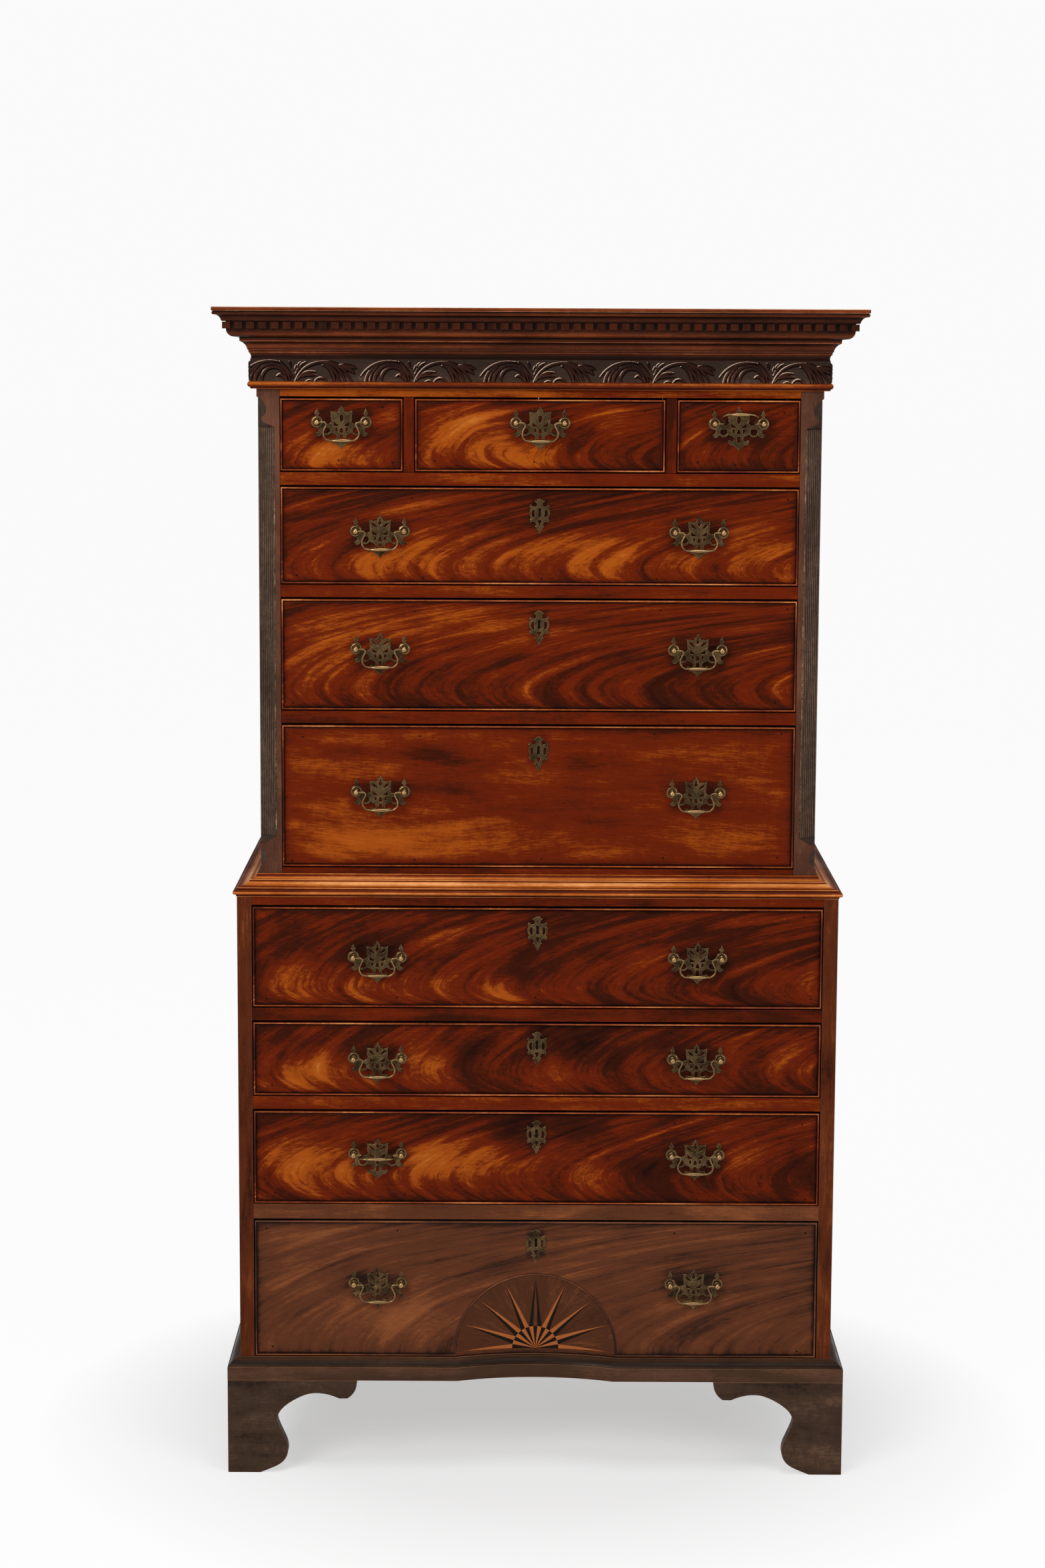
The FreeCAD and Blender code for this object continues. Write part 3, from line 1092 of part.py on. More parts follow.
def cabinet_nodes():
    """Every fixed sub-part of the two cases."""
    lower_blocks = mitre_blocks("lower_mitre", "lower_width / 2", LOW_FRONT, "foot_height - 1",
                                "waist_height + 80")
    upper_blocks = mitre_blocks("upper_mitre", UPPER_WIDTH + " / 2", UP_FRONT,
                                "waist_height - 1", "total_height + 1")
    half = UPPER_WIDTH + " / 2"
    pieces = dict(lower_carcass())
    pieces.update(upper_carcass())
    corner = reeded_corner()
    pieces["reeded_corners"] = [corner, mirror("reeded_corner_left", corner)]
    pieces["plinth_moulding"] = plinth(lower_blocks)
    pieces["bracket_feet"] = bracket_feet()
    pieces["foot_blocks"] = foot_blocks()
    pieces["waist_moulding"] = mitred_moulding("waist", WAIST_SECTION, half, UP_FRONT,
                                               "waist_height", upper_blocks)
    frieze = mitred_moulding("frieze", FRIEZE_SECTION, half, UP_FRONT, "frieze_base", upper_blocks)
    astragal = mitred_moulding("astragal", ASTRAGAL_SECTION, half, UP_FRONT, ASTRAGAL_BASE,
                               upper_blocks)
    pieces["frieze_and_astragal"] = frieze + astragal
    pieces["cornice"] = mitred_moulding("cornice_run", CORNICE_SECTION, half, UP_FRONT, FRIEZE_TOP,
                                        upper_blocks)
    pieces["dentils"] = dentils()
    return [group(name, solids) for name, solids in pieces.items()]


def check_and_write(nodes):
    """Refuse a failed object or a bad shape, then write each sub-part to its own file."""
    for thing in doc.Objects:
        if "Invalid" in thing.State or "Error" in thing.State:
            raise RuntimeError("%s failed to build" % thing.Name)
    os.makedirs("parts", exist_ok=True)
    for node in nodes:
        shape = node.Shape
        if shape.isNull() or not shape.isValid() or not shape.Solids:
            raise RuntimeError("%s has a bad shape" % node.Label)
    for node in nodes:
        node.Shape.exportStep("parts/%s.step" % node.Label)


brass_masters = make_masters()
all_nodes = cabinet_nodes()
for one_drawer in DRAWERS:
    all_nodes += drawer_nodes(one_drawer, brass_masters)
doc.recompute()
check_and_write(all_nodes)
print("%d sub-parts" % len(all_nodes))
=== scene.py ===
"""Chest on chest: the visual model.

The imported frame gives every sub-part in place.  Boards are copied from it with eased edges;
veneers, mouldings, carving, inlay and brasses are surfaces worked out here, each of them riding
on the body of the part that it belongs to.  Lengths in the tables below are millimetres.
"""
import json
import math
from collections import namedtuple

import bmesh
import bpy
import numpy as np
from bpy.props import FloatProperty, FloatVectorProperty, IntProperty, PointerProperty
from mathutils import Matrix, Vector


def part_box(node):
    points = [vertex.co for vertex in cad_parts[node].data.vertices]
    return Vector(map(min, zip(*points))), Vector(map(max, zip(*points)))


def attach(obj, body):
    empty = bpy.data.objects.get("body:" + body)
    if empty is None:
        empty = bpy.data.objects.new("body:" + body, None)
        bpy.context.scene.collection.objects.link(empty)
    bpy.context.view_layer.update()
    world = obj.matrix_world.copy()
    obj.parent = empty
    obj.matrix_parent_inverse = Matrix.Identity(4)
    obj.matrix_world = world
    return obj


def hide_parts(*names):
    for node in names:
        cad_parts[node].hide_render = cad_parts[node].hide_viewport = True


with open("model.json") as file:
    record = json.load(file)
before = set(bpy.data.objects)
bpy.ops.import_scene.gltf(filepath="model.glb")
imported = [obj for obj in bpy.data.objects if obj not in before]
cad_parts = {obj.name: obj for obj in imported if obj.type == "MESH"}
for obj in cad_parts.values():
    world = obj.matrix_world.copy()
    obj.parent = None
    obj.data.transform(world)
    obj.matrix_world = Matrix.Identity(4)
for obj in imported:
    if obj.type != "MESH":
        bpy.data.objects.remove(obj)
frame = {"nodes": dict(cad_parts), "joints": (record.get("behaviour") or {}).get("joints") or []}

bl_info = {
    "name": "Chest on chest",
    "version": (1, 0, 0),
    "blender": (4, 5, 0),
    "location": "3D view > Sidebar > Chest",
    "description": "Veneers, carving, mouldings and brasses of a mahogany chest on chest",
    "category": "Object",
}

MM = 0.001

# Planes of the cabinet, in millimetres, read from the frame.
LOW_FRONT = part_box("lower_sides")[0].y / MM
UP_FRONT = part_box("upper_rails")[0].y / MM
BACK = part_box("upper_back")[1].y / MM
LOWER_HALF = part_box("lower_sides")[1].x / MM
UPPER_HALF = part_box("upper_sides")[1].x / MM
PIVOTS = {joint["child"]: np.array(joint["pos_m"]) / MM
          for joint in frame["joints"] if joint["type"] == "hinge"}

# Drawer: height of its lower edge, height, width, middle, rise of the posts above its lower edge,
# and drop of the keyhole below its upper one.
Drawer = namedtuple("Drawer", "foot high wide centre rise drop")
SHORT = dict(foot=1617.7, high=113.2, rise=76.6, drop=None)
UPPER = dict(wide=814.4, centre=0.0, drop=39.0)
LOWER = dict(wide=906.8, centre=0.0, drop=35.6)
NICHE_DRAWER = "lower_drawer_four"
DRAWERS = {
    "short_drawer_left": Drawer(wide=192.1, centre=-311.15, **SHORT),
    "short_drawer_centre": Drawer(wide=392.2, centre=0.0, **SHORT),
    "short_drawer_right": Drawer(wide=192.1, centre=311.15, **SHORT),
    "upper_drawer_one": Drawer(foot=1440.7, high=152.0, rise=83.5, **UPPER),
    "upper_drawer_two": Drawer(foot=1240.7, high=175.8, rise=97.6, **UPPER),
    "upper_drawer_three": Drawer(foot=989.0, high=227.2, rise=121.4, **UPPER),
    "lower_drawer_one": Drawer(foot=767.6, high=161.6, rise=81.6, **LOWER),
    "lower_drawer_two": Drawer(foot=623.2, high=118.9, rise=61.25, **LOWER),
    "lower_drawer_three": Drawer(foot=445.2, high=151.8, rise=82.4, **LOWER),
    NICHE_DRAWER: Drawer(foot=191.0, high=225.4, rise=122.3, **LOWER),
}
HANDLES = {"short": (0.0,), "upper": (-251.0, 251.0), "lower": (-255.0, 255.0)}
POST_SPACING, PLATE_THICK = 76.2, 1.6
BEAD_WIDE, BEAD_PROUD, BEAD_DEEP = 3.2, 1.8, 6.0
VENEER_THICK, VENEER_TUCK = 1.2, 0.3    # the veneer runs a little way under the beads

# The recess of the bottom drawer: a shallow sphere, and the hollow of the plinth under it.
NICHE_HALF, NICHE_DEEP, NICHE_RISE = 128.7, 22.0, 7.0
NICHE_RADIUS = (NICHE_HALF ** 2 + NICHE_DEEP ** 2) / (2 * NICHE_DEEP)

# Multiples of this, less their whole part, are spread evenly from 0 to 1.
GOLDEN = 0.618
# Shifts of the grain along it, across it and in its third coordinate: the largest of a board, which
# takes its own share of it, and the one from each length of a moulding to the next.
BOARD_SHIFT = np.array([3170.0, 911.0, 487.0])
LENGTH_SHIFT = 0.37 * np.array([2900.0, 700.0, 50.0])

# Angles in degrees: edges that are shaded sharp, facets that count as flat, and edges that are
# rounded off on wood and on brass.
SHARP_FROM, FLAT_UP_TO, WOOD_EDGE, BRASS_EDGE = 35.0, 0.6, 40.0, 50.0


# --------------------------------------------------------------------------------------------
# Settings that a user would change
# --------------------------------------------------------------------------------------------

def colour(name, note, default):
    """A linear colour setting."""
    return FloatVectorProperty(name=name, description=note, subtype="COLOR", size=3,
                               min=0.0, max=1.0, default=default)


class ChestWoodSettings(bpy.types.PropertyGroup):
    """Colours of the polished and the plain woods."""
    deep: colour("Deep", "Darkest bands of the figure", (0.036, 0.0052, 0.0011))
    red: colour("Red brown", "Body of the mahogany", (0.122, 0.012, 0.0012))
    orange: colour("Orange", "Bright bands of the figure", (0.33, 0.066, 0.0045))
    gold: colour("Gold", "Brightest flames of the figure", (0.5, 0.17, 0.024))
    oak: colour("Oak", "Linings and back boards", (0.30, 0.18, 0.09))
    ease: FloatProperty(name="Eased edges", description="Width of the rubbed arrises",
                        default=0.0007, unit="LENGTH")


class ChestBrassSettings(bpy.types.PropertyGroup):
    """Finish of the brasses."""
    metal: colour("Metal", "Rubbed metal", (0.38, 0.232, 0.098))
    tarnish: colour("Tarnish", "Tarnish in the hollows", (0.018, 0.0108, 0.0054))
    segments: IntProperty(name="Segments", description="Faces round the wire of a bail",
                          default=14, min=6, max=32)


class ChestCarvingSettings(bpy.types.PropertyGroup):
    """Relief of the frieze."""
    relief: FloatProperty(name="Relief", description="Height of the carving",
                          default=0.0032, unit="LENGTH")
    cell: FloatProperty(name="Cell", description="Spacing of the carved surface's points",
                        default=0.0006, unit="LENGTH")


class ChestStageSettings(bpy.types.PropertyGroup):
    """Camera, lamps and floor."""
    lens: FloatProperty(name="Lens", description="Focal length in millimetres", default=74.48)
    distance: FloatProperty(name="Distance", description="Camera in front of the lower case",
                            default=5.0717, unit="LENGTH")
    height: FloatProperty(name="Height", description="Camera above the floor",
                          default=1.8591, unit="LENGTH")
    aside: FloatProperty(name="Aside", description="Camera to the right of the middle",
                         default=-0.025, unit="LENGTH")
    pitch: FloatProperty(name="Pitch", description="Camera below the horizon",
                         default=math.radians(8.202), subtype="ANGLE", unit="ROTATION")
    roll: FloatProperty(name="Roll", description="Camera about its own axis",
                        default=math.radians(0.268), subtype="ANGLE", unit="ROTATION")
    daylight: FloatProperty(name="Daylight", description="Strength of the even light",
                            default=0.2)
    softbox: FloatProperty(name="Softboxes", description="Power of the key lamp in watts",
                           default=145.0)


# --------------------------------------------------------------------------------------------
# Meshes
# --------------------------------------------------------------------------------------------

def quads(rows, columns, wrap_rows=False, wrap_columns=False):
    """Four-sided faces of a grid of points that is numbered row by row."""
    row, column = np.meshgrid(np.arange(rows - (not wrap_rows)),
                              np.arange(columns - (not wrap_columns)), indexing="ij")
    row, column = row.ravel(), column.ravel()
    next_row, next_column = (row + 1) % rows, (column + 1) % columns
    return np.stack([row * columns + column, row * columns + next_column,
                     next_row * columns + next_column, next_row * columns + column], axis=1)


class Shape:
    """Points and faces gathered for one piece, with what its materials read at each point.

    flow holds the distance along the grain, the distance across it and a third coordinate;
    tone is how much lighter or darker the wood is there, by its own colour and by painted light
    and shade.
    """

    def __init__(self):
        self.points, self.faces, self.flow, self.tone, self.finish = [], [], [], [], []
        self.count = 0

    def add(self, points, faces, flow=None, tone=0.0, finish=0):
        """Add points (millimetres) and the faces between them, which count from the first one.

        finish is the number of their material, one for all the faces or one for each.
        """
        points = np.asarray(points, float).reshape(-1, 3)
        self.points.append(points)
        self.flow.append(points if flow is None else np.asarray(flow, float).reshape(-1, 3))
        self.tone.append(np.broadcast_to(np.asarray(tone, float).ravel(), len(points)))
        self.close([np.asarray(face) + self.count for face in faces], finish)
        self.count += len(points)

    def close(self, faces, finish=0):
        """Add faces between points that are there already."""
        self.faces += [np.asarray(face).tolist() for face in faces]
        self.finish += np.broadcast_to(finish, len(faces)).tolist()

    def cap(self, rings, around):
        """Close both ends of the tube that was added last."""
        first, last = self.count - rings * around, self.count - around
        self.close([np.arange(first, first + around)[::-1], np.arange(last, self.count)])

    def mesh(self, name):
        """A mesh of the points and faces, with the flow and the tone as attributes."""
        mesh = bpy.data.meshes.new(name)
        mesh.from_pydata(np.concatenate(self.points) * MM, [], self.faces)
        flow = mesh.attributes.new("flow", "FLOAT_VECTOR", "POINT")
        flow.data.foreach_set("vector", (np.concatenate(self.flow) * MM).astype(np.float32).ravel())
        tone = mesh.attributes.new("tone", "FLOAT", "POINT")
        tone.data.foreach_set("value", np.concatenate(self.tone).astype(np.float32))
        mesh.polygons.foreach_set("material_index", self.finish)
        return mesh

    def piece(self, name, body, slot, materials, replaces=(), outwards=True, sharp=SHARP_FROM):
        """Make the mesh, ride it on its body and hide the nodes it stands for."""
        mesh = self.mesh(name)
        if outwards:
            rework(mesh, lambda work: bmesh.ops.recalc_face_normals(work, faces=work.faces))
        mesh.shade_smooth()
        mesh.set_sharp_from_angle(angle=math.radians(sharp))
        return show(name, mesh, body, slot, materials, replaces)


def rework(mesh, change):
    """Change a mesh by a function of its editable form."""
    work = bmesh.new()
    work.from_mesh(mesh)
    change(work)
    work.to_mesh(mesh)
    work.free()


def soften(piece, width, sharpest, material):
    """Round off the sharp edges of a piece; the rounds take the material of that number."""
    bevel = piece.modifiers.new("eased", "BEVEL")
    bevel.width = width
    bevel.segments = 2
    bevel.limit_method = "ANGLE"
    bevel.angle_limit = math.radians(sharpest)
    bevel.use_clamp_overlap = False
    bevel.harden_normals = True
    bevel.material = material


def show(name, mesh, body, slot, materials, replaces=()):
    """Put a finished mesh into the scene as a piece of a body."""
    piece = bpy.data.objects.new(name, mesh)
    bpy.context.scene.collection.objects.link(piece)
    for title in materials:
        mesh.materials.append(finish_of(title))
    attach(piece, body)
    if replaces:
        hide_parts(*replaces)
    return piece


def triangles_of(node):
    """A node's points (millimetres) with doubles merged, and its triangles in their order."""
    mesh = frame["nodes"][node].data
    points = np.empty(len(mesh.vertices) * 3, np.float32)
    mesh.vertices.foreach_get("co", points)
    corners = np.empty(len(mesh.polygons) * 3, np.int32)
    mesh.polygons.foreach_get("vertices", corners)
    keys, merged = np.unique(points.reshape(-1, 3), axis=0, return_inverse=True)
    return keys.astype(float) / MM, merged.ravel()[corners].reshape(-1, 3)


# Odd numbers that spread the marks of a mesh's edges over 64 bits.
MIX_LOW, MIX_HIGH, MIX_STEP, MIX_MARK = (np.uint64(number) for number in (
    0x9E3779B97F4A7C15, 0xC2B2AE3D27D4EB4F, 12345, 0xBF58476D1CE4E5B9))


def solids_of(node):
    """The separate solids of a node, as (points, triangles).

    The triangles stand solid by solid.  Each edge gets a mark that its two directions cancel, so
    the running sum of the marks is zero exactly where a solid is complete.
    """
    points, triangles = triangles_of(node)
    ahead = np.roll(triangles, -1, axis=1)
    low = np.minimum(triangles, ahead).astype(np.uint64)
    high = np.maximum(triangles, ahead).astype(np.uint64)
    mark = low * MIX_LOW ^ (high * MIX_HIGH + MIX_STEP)
    mark = (mark ^ (mark >> np.uint64(29))) * MIX_MARK
    mark ^= mark >> np.uint64(32)
    mark = np.where(triangles < ahead, mark, np.uint64(0) - mark)
    running = np.cumsum(mark.sum(axis=1, dtype=np.uint64), dtype=np.uint64)
    ends = np.nonzero(running == 0)[0] + 1
    if not len(ends) or ends[-1] != len(triangles):
        raise RuntimeError("the solids of %s don't separate" % node)
    for group in np.split(triangles, ends[:-1]):
        used, renumbered = np.unique(group, return_inverse=True)
        yield points[used], renumbered.reshape(-1, 3)


def board_flow(points, grain, seed):
    """Grain along one axis of a board, by default its longest, shifted so that no two are alike."""
    axis = int(np.argmax(np.ptp(points, axis=0))) if grain is None else grain
    order = [axis] + [index for index in range(3) if index != axis]
    return points[:, order] + BOARD_SHIFT * seed


def eased(name, node, materials, slot, keep=None, change=None, grain=None, tone=None, ease=1.0,
          seed=0.0, body="cabinet"):
    """A copy of a node's boards with their edges rounded off and rubbed.

    keep(low, high) chooses solids by their box, change(points) moves a copy's points, tone(low,
    high) gives a solid's tone, which otherwise varies a little from board to board.  The rounded
    edges take the last material; with an ease of 0 they stay sharp.
    """
    shape = Shape()
    for index, (points, triangles) in enumerate(solids_of(node)):
        low, high = points.min(axis=0), points.max(axis=0)
        if keep is not None and not keep(low, high):
            continue
        flow = board_flow(points, grain, (index * GOLDEN + seed) % 1.0)
        if change is not None:
            points = change(points)
        level = 0.06 * math.sin(7.0 * index + 13.0 * seed) if tone is None else tone(low, high)
        shape.add(points, triangles, flow, level)
    mesh = shape.mesh(name)
    rework(mesh, lambda work: bmesh.ops.dissolve_limit(
        work, angle_limit=math.radians(FLAT_UP_TO), verts=work.verts, edges=work.edges))
    mesh.shade_smooth()
    if not ease:
        mesh.set_sharp_from_angle(angle=math.radians(SHARP_FROM))
    piece = show(name, mesh, body, slot, materials, [node])
    if ease:
        soften(piece, bpy.context.scene.chest_wood.ease * ease, WOOD_EDGE, len(materials) - 1)


# A corner of an outline is an arris from the first of these turns on and lighter in full, by wear
# and a painted highlight, from the second on, both in radians.  Its ease takes at most the third,
# as a share of the shorter side.
LEAST_TURN, FULL_TURN, EASE_SHARE = math.radians(24), 1.2, 0.4


def drawn(outline, ease=0.5, steps=8):
    """An outline with its arcs drawn out and its arrises eased, and how light or dark each point is.

    A third item of a corner makes the side after it an arc of that radius, centre on the left if
    positive.  Arrises that stand out are lighter (+1), by wear and a painted highlight; inner corners
    are darker (-1), by dirt and painted shade.
    """
    points = []
    for entry, after in zip(outline, outline[1:] + outline[:1]):
        start, end = np.array(entry[:2], float), np.array(after[:2], float)
        points.append(start)
        if len(entry) > 2:
            radius, chord = entry[2], end - start
            length = math.hypot(*chord)
            left = np.array([-chord[1], chord[0]]) / length
            centre = ((start + end) / 2
                      + left * math.copysign(math.sqrt(max(radius ** 2 - length ** 2 / 4, 0)), radius))
            first = math.atan2(*(start - centre)[::-1])
            sweep = (math.atan2(*(end - centre)[::-1]) - first) % (2 * math.pi)
            if radius < 0:
                sweep -= 2 * math.pi
            turns = first + sweep * np.arange(1, steps)[:, None] / steps
            points += list(centre + abs(radius) * np.hstack([np.cos(turns), np.sin(turns)]))
    points = np.array(points)
    before, after = np.roll(points, 1, axis=0), np.roll(points, -1, axis=0)
    entering, leaving = points - before, after - points
    turn = np.arctan2(entering[:, 0] * leaving[:, 1] - entering[:, 1] * leaving[:, 0],
                      (entering * leaving).sum(axis=1))
    result, wear_and_highlight = [], []
    for index, point in enumerate(points):
        if abs(turn[index]) < LEAST_TURN:
            result.append(point)
            wear_and_highlight.append(0.0)
            continue
        lengths = [max(math.hypot(*vector[index]), 1e-6) for vector in (entering, leaving)]
        reach = min(ease, EASE_SHARE * min(lengths))
        first = point - entering[index] / lengths[0] * reach
        last = point + leaving[index] / lengths[1] * reach
        middle = (first + last) / 4 + point / 2
        sign = math.copysign(min(1.0, abs(turn[index]) / FULL_TURN), turn[index])
        result += [first, middle, last]
        wear_and_highlight += [0.1 * sign, sign, 0.1 * sign]
    return np.array(result), np.array(wear_and_highlight)


def mitres(path, closed=False):
    """At each point of a path in a plane, the vector that offsets it by one unit outwards."""
    steps = np.diff(np.vstack([path, path[:1]]) if closed else path, axis=0)
    steps /= np.linalg.norm(steps, axis=1)[:, None]
    normals = np.stack([steps[:, 1], -steps[:, 0]], axis=1)
    if closed:
        before, after = np.roll(normals, 1, axis=0), normals
    else:
        before, after = np.vstack([normals[:1], normals]), np.vstack([normals, normals[-1:]])
    return (before + after) / (1 + (before * after).sum(axis=1))[:, None]


def lengths_along(path):
    """How far along a path each of its points lies."""
    return np.concatenate([[0], np.cumsum(np.linalg.norm(np.diff(path, axis=0), axis=1))])


def moulding(shape, outline, path, base, breaks=(), ease=0.5, rub=0.1, shade=((0, 0.0),)):
    """Add an outline carried along a path in plan, in separate lengths that meet at mitres.

    Point = path + outwards * (offset of the path at its mitre), height = base + upwards.  Arrises
    are lighter by rub, wear and a painted highlight; shade is the painted light and
    shade at heights up the outline, as (height, tone) pairs.
    """
    path = np.asarray(path, float)
    section, wear_and_highlight = drawn(outline, ease)
    # Wear and a painted highlight on the arrises, and painted light and shade up the outline.
    level = rub * wear_and_highlight + np.interp(section[:, 1], *zip(*shade))
    offsets = mitres(path)
    stops = [0, *breaks, len(path) - 1]
    for run, (first, last) in enumerate(zip(stops, stops[1:])):
        line, out = path[first:last + 1], offsets[first:last + 1]
        plan = line[:, None, :] + out[:, None, :] * section[None, :, :1]
        height = np.broadcast_to(base + section[None, :, 1:], plan.shape[:2] + (1,))
        along, girth = np.meshgrid(lengths_along(line), lengths_along(section), indexing="ij")
        flow = np.stack([along, girth, 0 * along], axis=2) + LENGTH_SHIFT * run
        shape.add(np.concatenate([plan, height], axis=2), quads(*along.shape, wrap_columns=True),
                  flow, np.tile(level, len(line)))
        shape.cap(*along.shape)


def turned(shape, outline, centre, count=24, tone=0.0):
    """Add an outline of (radius, distance along the axis) turned about a line along Y."""
    radius, along = np.asarray(outline, float).T[:, :, None]
    angle = np.linspace(0, 2 * math.pi, count, endpoint=False)
    points = np.stack([radius * np.cos(angle), along + 0 * angle, radius * np.sin(angle)], axis=2)
    shape.add(points + np.asarray(centre, float), quads(len(outline), count, wrap_columns=True),
              None, np.repeat(np.broadcast_to(tone, len(outline)), count))


# --------------------------------------------------------------------------------------------
# Materials
# --------------------------------------------------------------------------------------------

def add(tree, kind, inputs=None, **settings):
    """Add a node to a tree; inputs are values or the sockets that feed them."""
    made = tree.nodes.new(kind)
    for key, value in settings.items():
        setattr(made, key, value)
    for key, value in (inputs or {}).items():
        if isinstance(value, bpy.types.NodeSocket):
            tree.links.new(value, made.inputs[key])
        else:
            made.inputs[key].default_value = value
    return made


def calc(tree, operation, *values):
    """A Math node's output."""
    return add(tree, "ShaderNodeMath", dict(enumerate(values)), operation=operation).outputs[0]


def stretch(tree, vector, scale):
    """A vector scaled along each axis."""
    return add(tree, "ShaderNodeVectorMath", {0: vector, 1: scale}, operation="MULTIPLY").outputs[0]


def cloud(tree, vector, detail=2.0, distortion=0.0, rough=0.5):
    """Noise of unit scale round zero."""
    made = add(tree, "ShaderNodeTexNoise", {"Vector": vector, "Scale": 1.0, "Detail": detail,
                                            "Roughness": rough, "Distortion": distortion})
    return calc(tree, "SUBTRACT", made.outputs["Fac"], 0.5)


def ramp(tree, value, stops):
    """A colour ramp through (position, colour) stops."""
    made = add(tree, "ShaderNodeValToRGB", {"Fac": value})
    made.color_ramp.interpolation = "EASE"
    elements = made.color_ramp.elements
    while len(elements) < len(stops):
        elements.new(0.5)
    for element, (position, shade) in zip(elements, stops):
        element.position = position
        element.color = (*shade, 1.0)
    return made.outputs["Color"]


def blank_group(name, inputs, outputs):
    """A node group with float or vector inputs and float outputs."""
    group = bpy.data.node_groups.new(name, "ShaderNodeTree")
    for title, kind in inputs:
        group.interface.new_socket(name=title, in_out="INPUT", socket_type="NodeSocket" + kind)
    for title in outputs:
        group.interface.new_socket(name=title, in_out="OUTPUT", socket_type="NodeSocketFloat")
    return group, group.nodes.new("NodeGroupInput").outputs, group.nodes.new("NodeGroupOutput").inputs


def grain_group():
    """Figure of the wood from the grain's own coordinates.

    Value is 0.5 + tone + bands of two widths + fine streaks + a soft mottle - dark lines where a
    slow noise passes through zero - pores; Pores are the short dark pores along the grain.
    """
    tree, given, made = blank_group(
        "grain", [("Flow", "Vector"), ("Tone", "Float"), ("Bands", "Float"), ("Streaks", "Float"),
                  ("Mottle", "Float")], ["Value", "Pores"])
    flow = given["Flow"]
    wide = cloud(tree, stretch(tree, flow, (4.5, 20, 20)), 2, 0.9, 0.5)
    narrow = cloud(tree, stretch(tree, flow, (9, 75, 75)), 3, 0.6, 0.55)
    bands = calc(tree, "MULTIPLY_ADD", narrow, 0.34, wide)
    streaks = cloud(tree, stretch(tree, flow, (45, 600, 600)), 3, 0.0, 0.7)
    mottle = cloud(tree, stretch(tree, flow, (120, 90, 90)), 4, 0.5, 0.65)
    pores = cloud(tree, stretch(tree, flow, (150, 1500, 1500)), 1)
    line = calc(tree, "ABSOLUTE", cloud(tree, stretch(tree, flow, (3.5, 42, 42)), 1, 0.3))
    line = calc(tree, "MAXIMUM", calc(tree, "MULTIPLY_ADD", line, -22.0, 1.0), 0.0)
    value = calc(tree, "ADD", given["Tone"], 0.5)
    for part, amount in ((bands, "Bands"), (streaks, "Streaks"), (mottle, "Mottle")):
        value = calc(tree, "MULTIPLY_ADD", part, given[amount], value)
    value = calc(tree, "MULTIPLY_ADD", calc(tree, "MULTIPLY", line, given["Bands"]), -0.07, value)
    dark = calc(tree, "MAXIMUM", calc(tree, "SUBTRACT", pores, 0.08), 0.0)
    tree.links.new(calc(tree, "MULTIPLY_ADD", dark, -0.5, value), made["Value"])
    tree.links.new(calc(tree, "MULTIPLY", dark, 4.0), made["Pores"])


def grime_group():
    """Patches of dulled polish, as a mask from 0 to 1, and a fine noise, in Object coordinates."""
    tree, given, made = blank_group("grime", [("Scale", "Float")], ["Mask", "Fine"])
    place = add(tree, "ShaderNodeTexCoord").outputs["Object"]
    patches = add(tree, "ShaderNodeTexNoise", {"Vector": place, "Scale": given["Scale"],
                                               "Detail": 4.0, "Roughness": 0.65})
    fine = add(tree, "ShaderNodeTexNoise", {"Vector": place, "Scale": 900.0, "Detail": 2.0})
    spread = add(tree, "ShaderNodeMapRange", {0: patches.outputs["Fac"], 1: 0.35, 2: 0.7})
    tree.links.new(spread.outputs[0], made["Mask"])
    tree.links.new(fine.outputs["Fac"], made["Fine"])


def group_node(tree, name, inputs):
    """A shared node group, placed in a material."""
    return add(tree, "ShaderNodeGroup", inputs, node_tree=bpy.data.node_groups[name])


def blank_material(name):
    """The node tree of a new material, and the socket for its surface."""
    material = bpy.data.materials.new(name)
    if material.name != name:
        raise RuntimeError("the frame has a material named %s already" % name)
    material.use_nodes = True
    tree = material.node_tree
    tree.nodes.clear()
    return tree, tree.nodes.new("ShaderNodeOutputMaterial").inputs["Surface"]


PORE_DEEP, DULLING = 0.00012, 0.1       # depth of the pores in metres; tone lost where dull


def wood(name, stops, tone=0.0, bands=0.86, streaks=0.26, mottle=0.36, gloss=0.3, shine=0.045):
    """A wood whose colour runs through the stops as its figure goes from dark to light."""
    tree, surface = blank_material(name)
    flow = add(tree, "ShaderNodeAttribute", attribute_name="flow").outputs["Vector"]
    own = add(tree, "ShaderNodeAttribute", attribute_name="tone").outputs["Fac"]
    grime = group_node(tree, "grime", {"Scale": 9.0})
    shade = calc(tree, "ADD", own, calc(tree, "MULTIPLY_ADD", grime.outputs["Mask"], -DULLING,
                                        tone + DULLING / 2))
    grain = group_node(tree, "grain", {"Flow": flow, "Tone": shade, "Bands": bands,
                                       "Streaks": streaks, "Mottle": mottle})
    bump = add(tree, "ShaderNodeBump", {"Height": grain.outputs["Pores"], "Strength": 0.35,
                                        "Distance": -PORE_DEEP})
    rough = calc(tree, "MULTIPLY_ADD", grime.outputs["Mask"], 0.16, gloss)
    rough = calc(tree, "MULTIPLY_ADD", grain.outputs["Pores"], 0.12, rough)
    shader = add(tree, "ShaderNodeBsdfPrincipled",
                 {"Base Color": ramp(tree, grain.outputs["Value"], stops), "Roughness": rough,
                  "Normal": bump.outputs["Normal"], "Specular IOR Level": shine})
    tree.links.new(shader.outputs[0], surface)


# Contrast of straight grain, as in mouldings, and of the plain boards beside the veneers.
STRAIGHT = dict(bands=0.34, streaks=0.26, mottle=0.1)
PLAIN = dict(bands=0.6, streaks=0.36, mottle=0.14)


def darker(shade, share):
    """A colour of a share of another's strength."""
    return tuple(share * part for part in shade)


